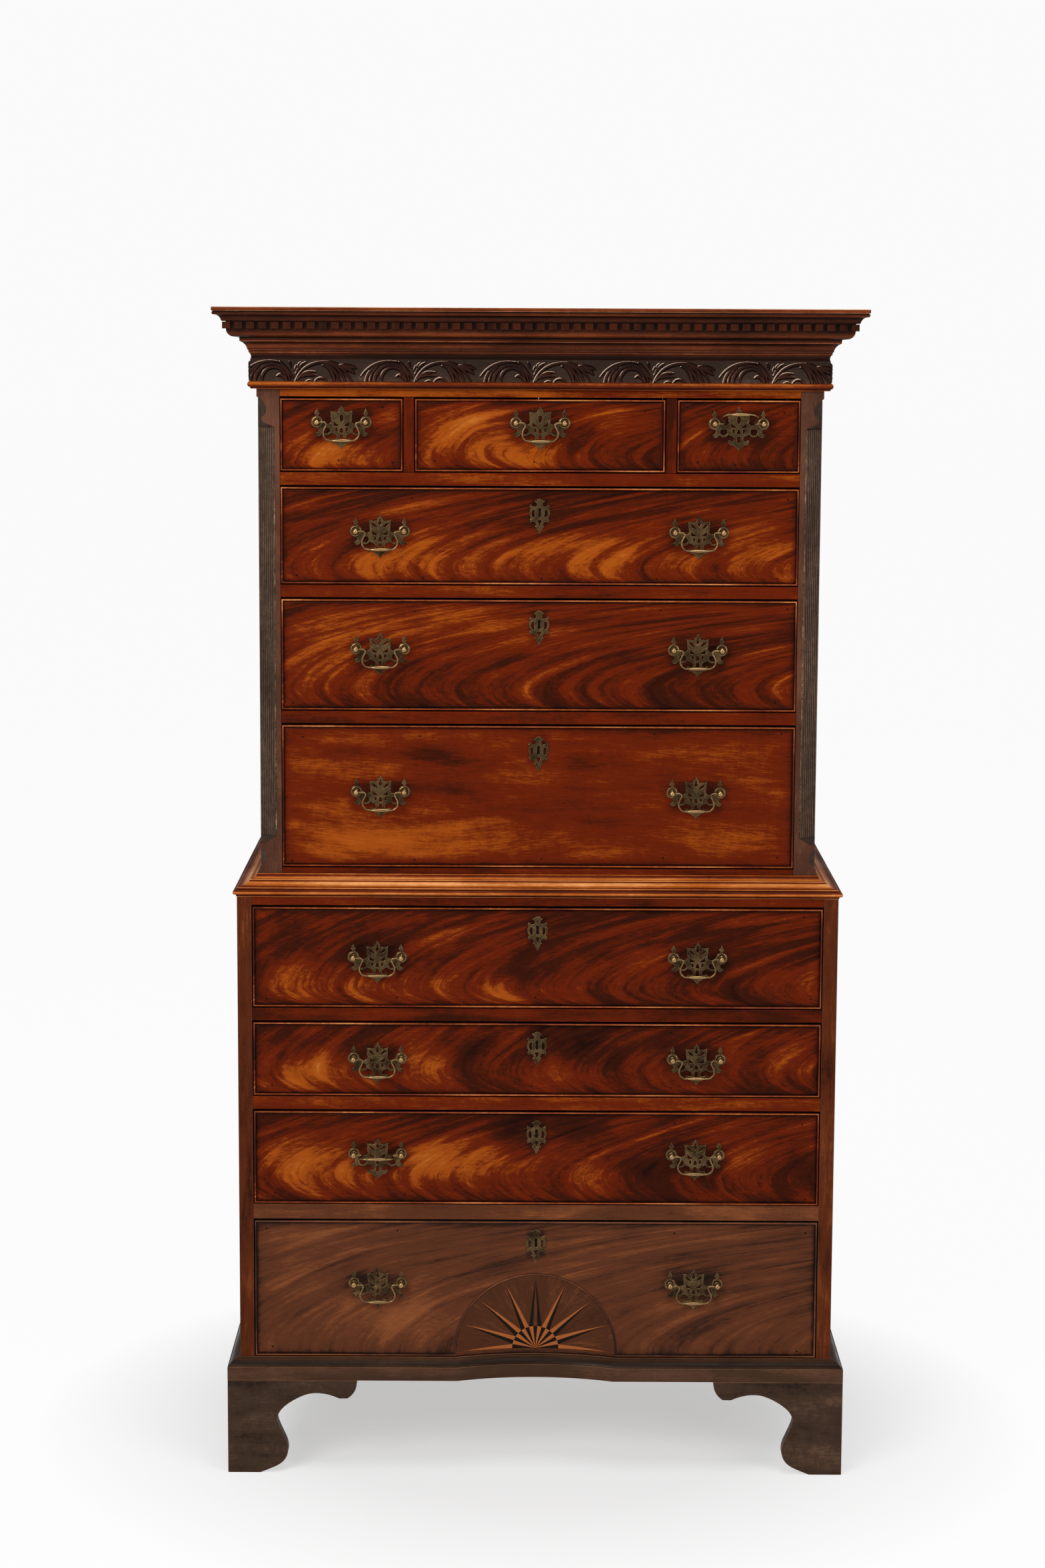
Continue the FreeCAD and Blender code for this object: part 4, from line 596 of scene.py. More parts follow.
def make_red_woods(settings):
    """The polished mahogany, most of it from its four colours."""
    deep, red, orange, gold = (tuple(shade) for shade in (settings.deep, settings.red,
                                                          settings.orange, settings.gold))
    black = darker(deep, 0.3)
    full = [(0.0, black), (0.25, deep), (0.5, red), (0.72, orange), (1.0, gold)]
    wood("veneer", full)
    wood("level_veneer", full, bands=0.46, streaks=0.36, mottle=0.14)
    wood("mahogany", full, tone=-0.03, **PLAIN)
    # Painted shade along the rounded edges of the rails, beside the gaps to the drawers.
    wood("rail_edge_shade", full, tone=-0.3, **STRAIGHT)
    wood("stile_wood", [(0.0, black), (0.25, (0.022, 0.0045, 0.0018)), (0.5, (0.088, 0.018, 0.005)),
                        (0.75, (0.2, 0.05, 0.013)), (1.0, (0.38, 0.14, 0.04))],
         bands=0.7, streaks=0.4, mottle=0.14)
    wood("cockbead", [(0.0, black), (0.25, deep), (0.5, red), (0.72, (0.3, 0.07, 0.012)),
                      (1.0, (0.62, 0.27, 0.09))], shine=0.12, gloss=0.26, bands=0.8, streaks=0.4)
    wood("waist_wood", [(0.0, black), (0.25, deep), (0.5, (0.13, 0.018, 0.0025)),
                        (0.72, (0.42, 0.1, 0.012)), (1.0, (0.9, 0.42, 0.15))],
         shine=0.06, gloss=0.26, **STRAIGHT)


def make_dull_woods():
    """The faded mahogany of the lowest drawer, the rails beside it and the upper sides."""
    dull = [(0.0, (0.008, 0.004, 0.003)), (0.25, (0.028, 0.0115, 0.0065)),
            (0.5, (0.102, 0.0305, 0.0125)), (0.75, (0.215, 0.066, 0.022)), (1.0, (0.36, 0.13, 0.042))]
    wood("dull_veneer", dull, tone=0.02, bands=0.66, mottle=0.26)
    wood("dull_mahogany", dull, **PLAIN)
    wood("niche_ground", [(0.0, (0.006, 0.003, 0.002)), (0.5, (0.078, 0.025, 0.0105)),
                          (0.75, (0.17, 0.055, 0.02)), (1.0, (0.3, 0.12, 0.045))],
         bands=0.6, streaks=0.6, mottle=0.1)
    wood("dull_bead", dull, tone=-0.08, shine=0.12, gloss=0.26, bands=0.8, streaks=0.4)


def make_dark_woods():
    """The darkened mahogany of the cornice, the corner posts, the plinth and the feet."""
    wood("cornice_wood", [(0.0, (0.003, 0.0018, 0.0012)), (0.3, (0.015, 0.0045, 0.0025)),
                          (0.5, (0.058, 0.013, 0.0045)), (0.75, (0.2, 0.042, 0.011)),
                          (1.0, (0.55, 0.27, 0.14))], shine=0.06, gloss=0.26, **STRAIGHT)
    dusky = [(0.0, (0.006, 0.004, 0.003)), (0.28, (0.021, 0.011, 0.0065)),
             (0.5, (0.054, 0.025, 0.0135)), (0.75, (0.12, 0.055, 0.03)), (1.0, (0.32, 0.16, 0.08))]
    wood("dark_mahogany", [(0.0, (0.006, 0.004, 0.003)), (0.28, (0.023, 0.0095, 0.006)),
                           (0.5, (0.066, 0.025, 0.0145)), (0.75, (0.15, 0.06, 0.034)),
                           (1.0, (0.34, 0.16, 0.08))], gloss=0.36, **STRAIGHT)
    wood("plinth_wood", dusky, gloss=0.26, shine=0.06, **STRAIGHT)
    wood("dark_rubbed", dusky, tone=0.16, gloss=0.32, **STRAIGHT)
    wood("foot_wood", [(0.0, (0.006, 0.0045, 0.0035)), (0.28, (0.02, 0.012, 0.008)),
                       (0.5, (0.05, 0.028, 0.0175)), (0.75, (0.11, 0.06, 0.036)),
                       (1.0, (0.3, 0.16, 0.09))], tone=-0.03, gloss=0.36, bands=0.6, streaks=0.3)
    wood("reeded", [(0.0, (0.005, 0.0035, 0.0025)), (0.5, (0.052, 0.034, 0.023)),
                    (1.0, (0.26, 0.17, 0.11))], bands=0.2, streaks=0.4, gloss=0.36, shine=0.06)
    wood("worn_arris", [(0.3, (0.05, 0.025, 0.014)), (0.55, (0.2, 0.11, 0.065)),
                        (0.8, (0.55, 0.36, 0.24))], bands=0.9, streaks=0.8, mottle=0.8)


def make_frieze_woods():
    """The carving, and the ground that it stands on."""
    wood("carved", [(0.0, (0.0025, 0.0015, 0.001)), (0.3, (0.012, 0.0045, 0.003)),
                    (0.55, (0.048, 0.0135, 0.0075)), (0.78, (0.24, 0.12, 0.075)),
                    (1.0, (0.75, 0.56, 0.43))],
         bands=0.12, streaks=0.14, mottle=0.1, gloss=0.3, shine=0.06)
    wood("frieze_ground", [(0.0, (0.006, 0.004, 0.003)), (0.5, (0.036, 0.0205, 0.0145)),
                           (1.0, (0.12, 0.075, 0.052))],
         bands=0.3, streaks=0.6, mottle=0.5, gloss=0.45)


def make_oak(settings):
    """The oak of the linings and the back boards."""
    oak = tuple(settings.oak)
    wood("plain_oak", [(0.0, darker(oak, 0.25)), (0.4, darker(oak, 0.6)), (0.8, oak)],
         bands=1.1, streaks=1.0, mottle=0.3, gloss=0.6)


def make_inlay_woods():
    """The light and the dark wood of the half sun."""
    wood("inlay_light", [(0.0, (0.12, 0.03, 0.008)), (0.5, (0.36, 0.105, 0.028)),
                         (1.0, (0.5, 0.19, 0.06))], bands=0.2, streaks=0.5)
    wood("inlay_dark", [(0.0, (0.004, 0.003, 0.002)), (0.5, (0.01, 0.006, 0.004)),
                        (1.0, (0.05, 0.025, 0.015))], bands=0.2, streaks=0.4)


def brass(name, settings, tone, rough):
    """Brass between its tarnish and its rubbed metal, by patches, a fine grain and its own tone."""
    tree, surface = blank_material(name)
    own = add(tree, "ShaderNodeAttribute", attribute_name="tone").outputs["Fac"]
    grime = group_node(tree, "grime", {"Scale": 55.0})
    level = calc(tree, "MULTIPLY_ADD", grime.outputs["Mask"], -0.3, 0.5 + tone)
    level = calc(tree, "MULTIPLY_ADD", calc(tree, "SUBTRACT", grime.outputs["Fine"], 0.5), 0.5,
                 calc(tree, "ADD", level, own))
    shade = ramp(tree, level, [(0.0, tuple(settings.tarnish)), (1.0, tuple(settings.metal))])
    bump = add(tree, "ShaderNodeBump", {"Height": grime.outputs["Fine"], "Strength": 0.15,
                                        "Distance": 0.00015})
    shader = add(tree, "ShaderNodeBsdfPrincipled",
                 {"Base Color": shade, "Metallic": 0.96, "Normal": bump.outputs["Normal"],
                  "Roughness": calc(tree, "MULTIPLY_ADD", grime.outputs["Mask"], 0.2, rough)})
    tree.links.new(shader.outputs[0], surface)


def make_metals(settings):
    """Brass that is tarnished in its flats and hollows, and rubbed where it stands out."""
    brass("tarnished_brass", settings, tone=-0.13, rough=0.34)
    brass("rubbed_brass", settings, tone=0.14, rough=0.22)


def make_keyhole_shade_and_pin_heads():
    """Painted shade of the keyholes, and the dark of the pin heads."""
    tree, surface = blank_material("keyhole_shade_and_pin_heads")
    fine = group_node(tree, "grime", {"Scale": 300.0}).outputs["Mask"]
    shader = add(tree, "ShaderNodeBsdfPrincipled",
                 {"Base Color": ramp(tree, fine, [(0.0, (0.004, 0.003, 0.002)),
                                                  (1.0, (0.012, 0.008, 0.005))]),
                  "Roughness": 0.8, "Specular IOR Level": 0.05})
    tree.links.new(shader.outputs[0], surface)


def finish_of(name):
    """A material by name."""
    return bpy.data.materials[name]


# --------------------------------------------------------------------------------------------
# Drawer fronts
# --------------------------------------------------------------------------------------------

# The figure of each front.  A flamed front has nested curves that start at its lower edge, turn at
# a height (turn) and lean away to the right (reach, in millimetres, at the left and the right end);
# back is how far they come back below the turn.  A level front has straight grain of a slope.
# Hills bend the grain (x, z, wide, high, lift); patches lighten or darken it (x, z, wide, high,
# tone).  x runs from -1 to 1 over the front and z from 0 to 1 up it; lift is in millimetres.
FIGURES = {
    "short_drawer_left": dict(turn=0.12, reach=(150, 190), back=15, tone=0.03, hills=[],
                              patches=[(-0.1, 0.2, 0.8, 0.22, 0.13), (0.1, 0.75, 0.8, 0.25, -0.08),
                                       (0.8, 0.8, 0.25, 0.2, 0.12), (0.75, 0.25, 0.3, 0.3, -0.08),
                                       (-0.8, 0.85, 0.3, 0.3, -0.1)]),
    "short_drawer_centre": dict(turn=0.22, reach=(120, 260), back=30, tone=0.0,
                                hills=[(-0.45, 0.5, 0.25, 0.4, 24), (0.0, 0.3, 0.2, 0.3, -18),
                                       (0.55, 0.6, 0.2, 0.4, 20)],
                                patches=[(-0.55, 0.6, 0.35, 0.45, 0.2), (-0.1, 0.15, 0.4, 0.2, 0.13),
                                         (0.35, 0.6, 0.2, 0.5, -0.08), (0.6, 0.75, 0.2, 0.2, 0.1),
                                         (0.85, 0.3, 0.25, 0.5, -0.12)]),
    "short_drawer_right": dict(turn=0.2, reach=(130, 170), back=15, tone=-0.06, hills=[],
                               patches=[(-0.6, 0.28, 0.3, 0.25, 0.14), (0.0, 0.2, 0.4, 0.2, 0.08),
                                        (0.8, 0.75, 0.2, 0.2, 0.08), (0.7, 0.2, 0.3, 0.3, -0.08)]),
    "upper_drawer_one": dict(turn=0.18, reach=(300, 420), back=25, tone=-0.01, hills=[],
                             patches=[(0.0, 0.9, 1.3, 0.2, -0.1), (-0.8, 0.55, 0.16, 0.35, -0.08),
                                      (0.1, 0.6, 0.4, 0.15, -0.14), (-0.4, 0.3, 0.4, 0.25, 0.13),
                                      (0.2, 0.3, 0.22, 0.25, 0.22), (0.78, 0.4, 0.25, 0.3, 0.16),
                                      (-0.75, 0.25, 0.2, 0.25, 0.08)]),
    "upper_drawer_two": dict(turn=0.2, reach=(240, 620), back=40, tone=-0.05, hills=[],
                             patches=[(-0.65, 0.72, 0.35, 0.22, 0.14), (-0.85, 0.25, 0.2, 0.25, 0.1),
                                      (-0.3, 0.88, 0.2, 0.12, 0.12), (-0.2, 0.3, 0.25, 0.3, -0.08),
                                      (0.6, 0.3, 0.2, 0.3, -0.06), (0.85, 0.35, 0.2, 0.3, 0.05)]),
    "upper_drawer_three": dict(slope=0.035, tone=0.0,
                               hills=[(-0.5, 0.25, 0.4, 0.35, 14), (0.3, 0.1, 0.4, 0.25, -16)],
                               patches=[(-0.45, 0.8, 0.16, 0.06, -0.22), (-0.72, 0.82, 0.12, 0.05, -0.16),
                                        (0.15, 0.72, 0.2, 0.05, -0.12), (-0.1, 0.55, 0.6, 0.04, -0.08),
                                        (-0.7, 0.15, 0.35, 0.2, 0.16), (-0.1, 0.12, 0.5, 0.15, 0.09),
                                        (0.75, 0.15, 0.3, 0.2, 0.07), (-0.4, 0.9, 0.4, 0.1, 0.06)]),
    "lower_drawer_one": dict(turn=0.2, reach=(130, 360), back=70, tone=-0.06, hills=[],
                             patches=[(-0.8, 0.25, 0.18, 0.25, 0.2), (-0.42, 0.2, 0.2, 0.22, 0.16),
                                      (-0.12, 0.1, 0.15, 0.16, 0.16), (-0.35, 0.75, 0.2, 0.15, 0.08),
                                      (-0.85, 0.6, 0.12, 0.3, -0.1), (-0.6, 0.75, 0.12, 0.3, -0.1),
                                      (0.05, 0.6, 0.25, 0.3, -0.06), (0.6, 0.6, 0.5, 0.4, -0.05),
                                      (0.85, 0.3, 0.14, 0.2, 0.1)]),
    "lower_drawer_two": dict(turn=0.35, reach=(75, 120), back=55, tone=-0.06, hills=[],
                             patches=[(-0.8, 0.3, 0.2, 0.3, 0.22), (-0.9, 0.85, 0.1, 0.25, -0.15),
                                      (-0.6, 0.75, 0.1, 0.25, -0.12), (-0.25, 0.7, 0.12, 0.25, -0.16),
                                      (0.18, 0.6, 0.12, 0.35, -0.22), (0.45, 0.75, 0.15, 0.2, -0.12),
                                      (-0.38, 0.4, 0.1, 0.25, 0.14), (0.08, 0.3, 0.14, 0.25, 0.14),
                                      (0.68, 0.4, 0.08, 0.3, 0.1), (0.9, 0.5, 0.08, 0.25, 0.2)]),
    "lower_drawer_three": dict(turn=0.3, reach=(170, 260), back=50, tone=-0.06,
                               hills=[(-0.85, 0.4, 0.2, 0.4, 20)],
                               patches=[(-0.8, 0.42, 0.25, 0.3, 0.26), (-0.38, 0.45, 0.12, 0.25, 0.24),
                                        (-0.16, 0.5, 0.1, 0.2, 0.2), (-0.08, 0.8, 0.08, 0.2, -0.26),
                                        (0.15, 0.82, 0.1, 0.15, -0.18), (0.38, 0.4, 0.1, 0.15, -0.2),
                                        (0.2, 0.25, 0.1, 0.2, 0.16), (0.55, 0.2, 0.1, 0.15, -0.12),
                                        (0.93, 0.4, 0.08, 0.25, -0.2), (0.7, 0.5, 0.1, 0.2, 0.08)]),
    "lower_drawer_four": dict(turn=0.05, reach=(330, 720), back=0, tone=0.0, hills=[],
                              patches=[(-0.7, 0.84, 0.2, 0.1, 0.08), (-0.55, 0.25, 0.2, 0.2, 0.08),
                                       (-0.18, 0.68, 0.15, 0.12, -0.12), (0.6, 0.65, 0.3, 0.12, -0.06),
                                       (0.8, 0.15, 0.3, 0.2, -0.05)]),
}


# Half sizes of the dirt and painted shade round a handle and round a keyhole, and how far the first
# hangs below the posts.
HANDLE_DIRT_AND_SHADE, KEYHOLE_DIRT_AND_SHADE, DIRT_AND_SHADE_SAG = (43, 24), (14, 22), 5


def case_of(drawer):
    """The group of drawers that one belongs to: short, upper or lower."""
    return drawer.split("_")[0]


def face_of(drawer):
    """The plane of a drawer's face."""
    return LOW_FRONT if case_of(drawer) == "lower" else UP_FRONT


def bells(across, up, places):
    """The sum of bells over a front, each with its middle, its half widths and its height."""
    total = np.zeros_like(up)
    for x, z, wide, high, height in places:
        total += height * np.exp(-((across - x) / wide) ** 2 - ((up - z) / high) ** 2)
    return total


def dirt_and_shade(x, z, half_sizes):
    """Darker round a brass, dirt and painted shade: 0.3 * exp(-(x / half wide) ** 4 - (z / half high) **
    4).
    """
    return 0.3 * np.exp(-(x / half_sizes[0]) ** 4 - (z / half_sizes[1]) ** 4)


def figure_at(drawer, x, z):
    """Flow and tone of a front at points measured from its lower edge's middle.

    Flamed: above = reach * (share of the height above the turn) ** 1.6, below = back * (share of
    the height below it) ** 2.  The field across the grain is x - (above + below), and the distance
    along it z + 0.8 * (above - below).  Level: the field is z + slope * x, the distance is x.
    Each hill is a bell in x and z.  The tone falls over the last few millimetres before the beads,
    a painted shade and dirt where the front meets them.
    """
    size, figure = DRAWERS[drawer], FIGURES[drawer]
    across, up = x / (size.wide / 2), z / size.high
    if "slope" in figure:
        along, field = x, z + figure["slope"] * x
    else:
        turn, (left, right) = figure["turn"], figure["reach"]
        reach = (left + right) / 2 + across * (right - left) / 2
        above = reach * np.clip((up - turn) / (1 - turn), 0, 1) ** 1.6
        below = figure["back"] * np.clip((turn - up) / turn, 0, 1) ** 2
        along = z + 0.8 * (above - below)
        field = x - (above + below)
    field = field + bells(across, up, figure["hills"])
    tone = 1.15 * (figure["tone"] + bells(across, up, figure["patches"]))
    edge = np.minimum(np.minimum(z, size.high - z), size.wide / 2 - np.abs(x)) - BEAD_WIDE
    # Painted shade and dirt beside the cockbeads: darker over the last few millimetres before them.
    tone = tone - 0.3 * np.exp(-np.maximum(edge, 0) / 3.0) - 0.06 * np.exp(-edge / 22.0)
    # Dirt and painted shade round the handles and the keyhole.
    for offset in HANDLES[case_of(drawer)]:
        tone = tone - dirt_and_shade(x - offset, z - size.rise + DIRT_AND_SHADE_SAG, HANDLE_DIRT_AND_SHADE)
    if size.drop:
        tone = tone - dirt_and_shade(x, z - size.high + size.drop, KEYHOLE_DIRT_AND_SHADE)
    seed = (list(DRAWERS).index(drawer) * GOLDEN) % 1.0
    return np.stack([along + 4000 * seed, field, 0 * x + 900 * seed], axis=-1), tone


def niche_depth(x, z):
    """How far the recess goes in at a point of the bottom drawer's face."""
    square = x ** 2 + (z - NICHE_RISE) ** 2
    inside = np.sqrt(np.maximum(NICHE_RADIUS ** 2 - square, 0)) + NICHE_DEEP - NICHE_RADIUS
    return np.maximum(inside, 0.0)


# Spacing of the points of a flat front.  On the bottom front, the number of rays towards each end
# and towards the upper edge, and of points on each ray up to the arch and from it on; the rays and
# points that two of these share count in both.
VENEER_CELL = 4.5
END_RAYS, TOP_RAYS, INNER_POINTS, OUTER_POINTS = 40, 150, 30, 62


def veneer_edges(size):
    """Half the width of a front's veneer, and its lower and upper edge."""
    inset = BEAD_WIDE - VENEER_TUCK
    return size.wide / 2 - inset, inset, size.high - inset


def flat_veneer(drawer):
    """A rectangular grid of points over a front, in from its cockbeads."""
    half, foot, top = veneer_edges(DRAWERS[drawer])
    x = np.linspace(-half, half, int(2 * half / VENEER_CELL) + 2)
    z = np.linspace(foot, top, int(DRAWERS[drawer].high / VENEER_CELL) + 2)
    return np.meshgrid(x, z, indexing="xy")


def niche_veneer():
    """Points over the bottom drawer's front on rays from the middle of its lower bead.

    Rows run along each ray, first from the middle to the arch and then from the arch to the
    edge of the front, so that a ring of points lies on the arch.
    """
    half, foot, top = veneer_edges(DRAWERS[NICHE_DRAWER])
    corner = math.atan2(top - foot, half)
    angle = np.concatenate([np.linspace(0, corner, END_RAYS),
                            np.linspace(corner, math.pi - corner, TOP_RAYS)[1:],
                            np.linspace(math.pi - corner, math.pi, END_RAYS)[1:]])
    ux, uz = np.cos(angle), np.sin(angle)
    lift = NICHE_RISE - foot
    arch = lift * uz + np.sqrt(NICHE_HALF ** 2 - (lift * ux) ** 2)
    edge = np.minimum(half / np.maximum(np.abs(ux), 1e-9), (top - foot) / np.maximum(uz, 1e-9))
    inner = np.linspace(0, 1, INNER_POINTS)[:, None] * arch
    outer = arch + np.linspace(0, 1, OUTER_POINTS)[1:, None] * (edge - arch)
    reach = np.vstack([inner, outer])
    return reach * ux, foot + reach * uz


def make_veneer(drawer):
    """The figured face of a drawer, a thin sheet that takes the place of the board's face."""
    size, niche = DRAWERS[drawer], drawer == NICHE_DRAWER
    x, z = niche_veneer() if niche else flat_veneer(drawer)
    depth = niche_depth(x, z) if niche else 0 * x
    flow, tone = figure_at(drawer, x, z)
    faces, finish = quads(*x.shape), 0
    woods = ["level_veneer" if "slope" in FIGURES[drawer] else "veneer"]
    if niche:
        radial = np.hypot(x, z - NICHE_RISE)
        inside = radial < NICHE_HALF + 0.01
        turn = np.arctan2(z - NICHE_RISE, x)
        flow[..., 0] = np.where(inside, radial, flow[..., 0])
        flow[..., 1] = np.where(inside, turn * 60, flow[..., 1])
        tone = np.where(inside, 0.0, tone)
        faces = faces[:, ::-1]
        finish = (inside[:-1, :-1] & inside[1:, 1:]).ravel().astype(int)
        woods = ["dull_veneer", "niche_ground"]
    shape = Shape()
    shape.add(np.stack([size.centre + x, face_of(drawer) + depth, size.foot + z], axis=-1), faces,
              flow, tone, finish)
    sheet = shape.piece(drawer + "_veneer", drawer, "drawer_wood", woods, [drawer + "_wood"],
                        outwards=False)
    if niche:
        rework(sheet.data,
               lambda work: bmesh.ops.remove_doubles(work, verts=work.verts, dist=1e-7))
    back = sheet.modifiers.new("thickness", "SOLIDIFY")
    back.thickness = VENEER_THICK * MM
    back.offset = -1.0


# The half sun: an odd number of wedges in its fan, and the tips of its rays on the right as
# (radius, angle), from the upright one down.
FAN_RADIUS, WEDGES = 37.7, 17
RAY_TIPS = [(122.5, 90.0), (122.0, 66.7), (122.5, 43.6), (123.0, 21.2)]
FLOOR_RAY = 115.0
# Points along an edge of a strip, and how far it stands before the recess and reaches behind it.
INLAY_POINTS, INLAY_PROUD, INLAY_BEHIND = 9, 0.18, 0.3


def inlay_patch(shape, corners, finish, grain):
    """A strip of inlay between two edges, each a pair of (radius, angle) ends, on the recess.

    Points run straight from end to end in the plane of the front, and lie on the sphere.
    """
    base = DRAWERS[NICHE_DRAWER].foot
    share = np.linspace(0, 1, INLAY_POINTS)[:, None]
    edges = []
    for start, end in corners:
        start, end = (np.array([radius * math.cos(math.radians(angle)),
                                radius * math.sin(math.radians(angle))]) for radius, angle in (start, end))
        edges.append(start + share * (end - start))
    plan = np.stack(edges, axis=1)
    x, z = plan[..., 0], plan[..., 1] + NICHE_RISE
    z = np.maximum(z, BEAD_WIDE)
    depth = LOW_FRONT + niche_depth(x, z)
    turn = math.radians(grain)
    flow = np.stack([x * math.cos(turn) + z * math.sin(turn), z * math.cos(turn) - x * math.sin(turn),
                     0 * x + grain * 7], axis=-1).reshape(-1, 3)
    front = np.stack([x, depth - INLAY_PROUD, base + z], axis=-1).reshape(-1, 3)
    behind = np.stack([x, depth + INLAY_BEHIND, base + z], axis=-1).reshape(-1, 3)
    face, count, start = quads(INLAY_POINTS, 2), 2 * INLAY_POINTS, shape.count
    shape.add(np.vstack([front, behind]), np.vstack([face, face + count]), np.vstack([flow, flow]),
              0.0, finish)
    loop = np.concatenate([np.arange(0, count, 2), np.arange(count - 1, 0, -2)])
    ahead = np.roll(loop, -1)
    shape.close(np.stack([loop, ahead, ahead + count, loop + count], axis=1) + start, finish)


def make_inlay():
    """The half sun of the recess: a fan of wedges, and rays of two strips that start from it.

    Wedge n spans n to n + 1 steps of half a turn over the number of wedges, dark if n is even.
    Each strip of a ray starts from one wedge and is light where the wedge is dark.
    """
    shape = Shape()
    step = 180.0 / WEDGES
    for index in range(WEDGES):
        low, high = step * index, step * (index + 1)
        inlay_patch(shape, [((0.6, low), (FAN_RADIUS, low)), ((0.6, high), (FAN_RADIUS, high))],
                    (index + 1) % 2, (low + high) / 2)
    middle = WEDGES // 2
    strips = [(middle - 1, RAY_TIPS[0], 1), (middle, RAY_TIPS[0], 2), (middle + 1, RAY_TIPS[0], 1),
              (0, (FLOOR_RAY, 0.0), 0), (WEDGES - 1, (FLOOR_RAY, 180.0), 0)]
    for number, (radius, angle) in enumerate(RAY_TIPS[1:], start=1):
        right, left = middle - 2 * number, middle + 2 * number
        strips += [(right, (radius, angle), 0), (right - 1, (radius, angle), 1),
                   (left, (radius, 180 - angle), 0), (left + 1, (radius, 180 - angle), 1)]
    for wedge, tip, finish in strips:
        inlay_patch(shape, [((FAN_RADIUS, step * wedge), tip),
                            ((FAN_RADIUS, step * (wedge + 1)), tip)], finish, tip[1])
    shape.piece("sun_inlay", NICHE_DRAWER, "drawer_wood",
                ["inlay_light", "inlay_dark", "niche_ground"])


BEAD_STEP = 60.0                        # the longest step along a cockbead


def divided(path, closed):
    """A cockbead's path with points added so that none of its steps is longer than that."""
    path = np.asarray(path, float)
    parts = []
    for start, end in zip(path, np.roll(path, -1, axis=0) if closed else path[1:]):
        count = math.ceil(math.hypot(*(end - start)) / BEAD_STEP)
        parts.append(start + np.arange(count)[:, None] / count * (end - start))
    return np.vstack(parts if closed else parts + [path[-1:]])


def bead_ring(shape, path, face, closed):
    """A cockbead carried along a path in the plane of a front, with a half-round nose.

    Point = path + inwards * offset; depth runs from behind the face to the nose.  The nose has a
    painted highlight, strongest where the bead runs level and faces the light from above, by an amount
    that comes and goes along it.
    """
    path = divided(path, closed)
    turn = np.linspace(0, math.pi, 9)
    across = np.concatenate([[0], BEAD_WIDE / 2 * (1 - np.cos(turn)), [BEAD_WIDE]])
    nose = -BEAD_PROUD + 1.5 * (1 - np.sin(turn))
    depth = np.concatenate([[BEAD_DEEP], nose, [BEAD_DEEP]])
    offsets = mitres(path, closed)
    plan = path[:, None, :] - offsets[:, None, :] * across[None, :, None]
    lengths = lengths_along(path)
    depth = np.broadcast_to(face + depth, plan.shape[:2])
    # Painted highlight on the nose of the bead.
    nose_highlight = np.concatenate([[0], np.sin(turn) ** 3, [0]])
    painted_highlight = 0.2 + 0.36 * np.minimum(np.abs(offsets[:, 1]), 1) \
        + 0.14 * np.sin(lengths / 83 + face) * np.sin(lengths / 37 + path[0, 1])
    flow = np.stack([np.broadcast_to(lengths[:, None], plan.shape[:2]),
                     np.broadcast_to(across, plan.shape[:2]), depth * 0 + shape.count * 0.31], 2)
    shape.add(np.stack([plan[..., 0], depth, plan[..., 1]], axis=2),
              quads(len(path), len(across), wrap_rows=closed, wrap_columns=True), flow,
              painted_highlight[:, None] * nose_highlight - 0.32)
    if not closed:
        shape.cap(len(path), len(across))


def make_cockbeads(drawer):
    """The cockbeads round a front, and on the bottom drawer the beads of its recess."""
    size, face, wood_name = DRAWERS[drawer], face_of(drawer), "cockbead"
    left, right = size.centre - size.wide / 2, size.centre + size.wide / 2
    low, top = size.foot, size.foot + size.high
    shape = Shape()
    if drawer != NICHE_DRAWER:
        bead_ring(shape, [(left, low), (right, low), (right, top), (left, top)], face, True)
    else:
        wood_name = "dull_bead"
        foot = math.sqrt(NICHE_HALF ** 2 - (BEAD_WIDE - NICHE_RISE) ** 2)
        bead_ring(shape, [(foot, low), (right, low), (right, top), (left, top), (left, low),
                          (-foot, low)], face, False)
        arc = np.linspace(math.asin(-NICHE_RISE / (NICHE_HALF + BEAD_WIDE)),
                          math.pi + math.asin(NICHE_RISE / (NICHE_HALF + BEAD_WIDE)), 72)
        ring = (NICHE_HALF + BEAD_WIDE) * np.stack([np.cos(arc), np.sin(arc)], axis=1)
        bead_ring(shape, ring + [0, low + NICHE_RISE], face, False)
        across = np.linspace(-foot, foot, 41)
        path = np.stack([across, face + niche_depth(across, BEAD_WIDE / 2)], axis=1)
        moulding(shape, [(-4, 0), (0, 0), (0, BEAD_WIDE), (-4, BEAD_WIDE)], path, low)
    shape.piece(drawer + "_cockbeads", drawer, "drawer_wood", [wood_name], [drawer + "_wood"])


PIN_PROFILE = [(0, -0.15), (1.3, -0.15), (1.7, 0.1), (1.7, 0.5), (0, 0.5)]


def make_pins(drawer):
    """Small dark pin heads near the upper and lower edges of a front.

    Pin n of a row of five stands n quarters of the way across, moved by up to 9 mm.  The short
    drawers have every other one, and the one in the middle of each upper row is left out.
    """
    size, number = DRAWERS[drawer], list(DRAWERS).index(drawer)
    shape = Shape()
    for row, height in enumerate((13.0, size.high - 15.0)):
        for index in range(5):
            crowded = case_of(drawer) == "short" and index % 2 == 1
            upper_middle = row == 1 and index == 2
            in_recess = drawer == NICHE_DRAWER and row == 0 and 0 < index < 4
            if crowded or upper_middle or in_recess:
                continue
            x = (index / 4 - 0.5) * (size.wide - 48) + 9 * math.sin(5 * index + 3 * row + number)
            lift = 4 * math.sin(7 * index + number)
            place = (size.centre + x, face_of(drawer), size.foot + height + lift)
            turned(shape, PIN_PROFILE, place, count=10)
    shape.piece(drawer + "_pins", drawer, "drawer_wood", ["keyhole_shade_and_pin_heads"], [drawer + "_wood"])


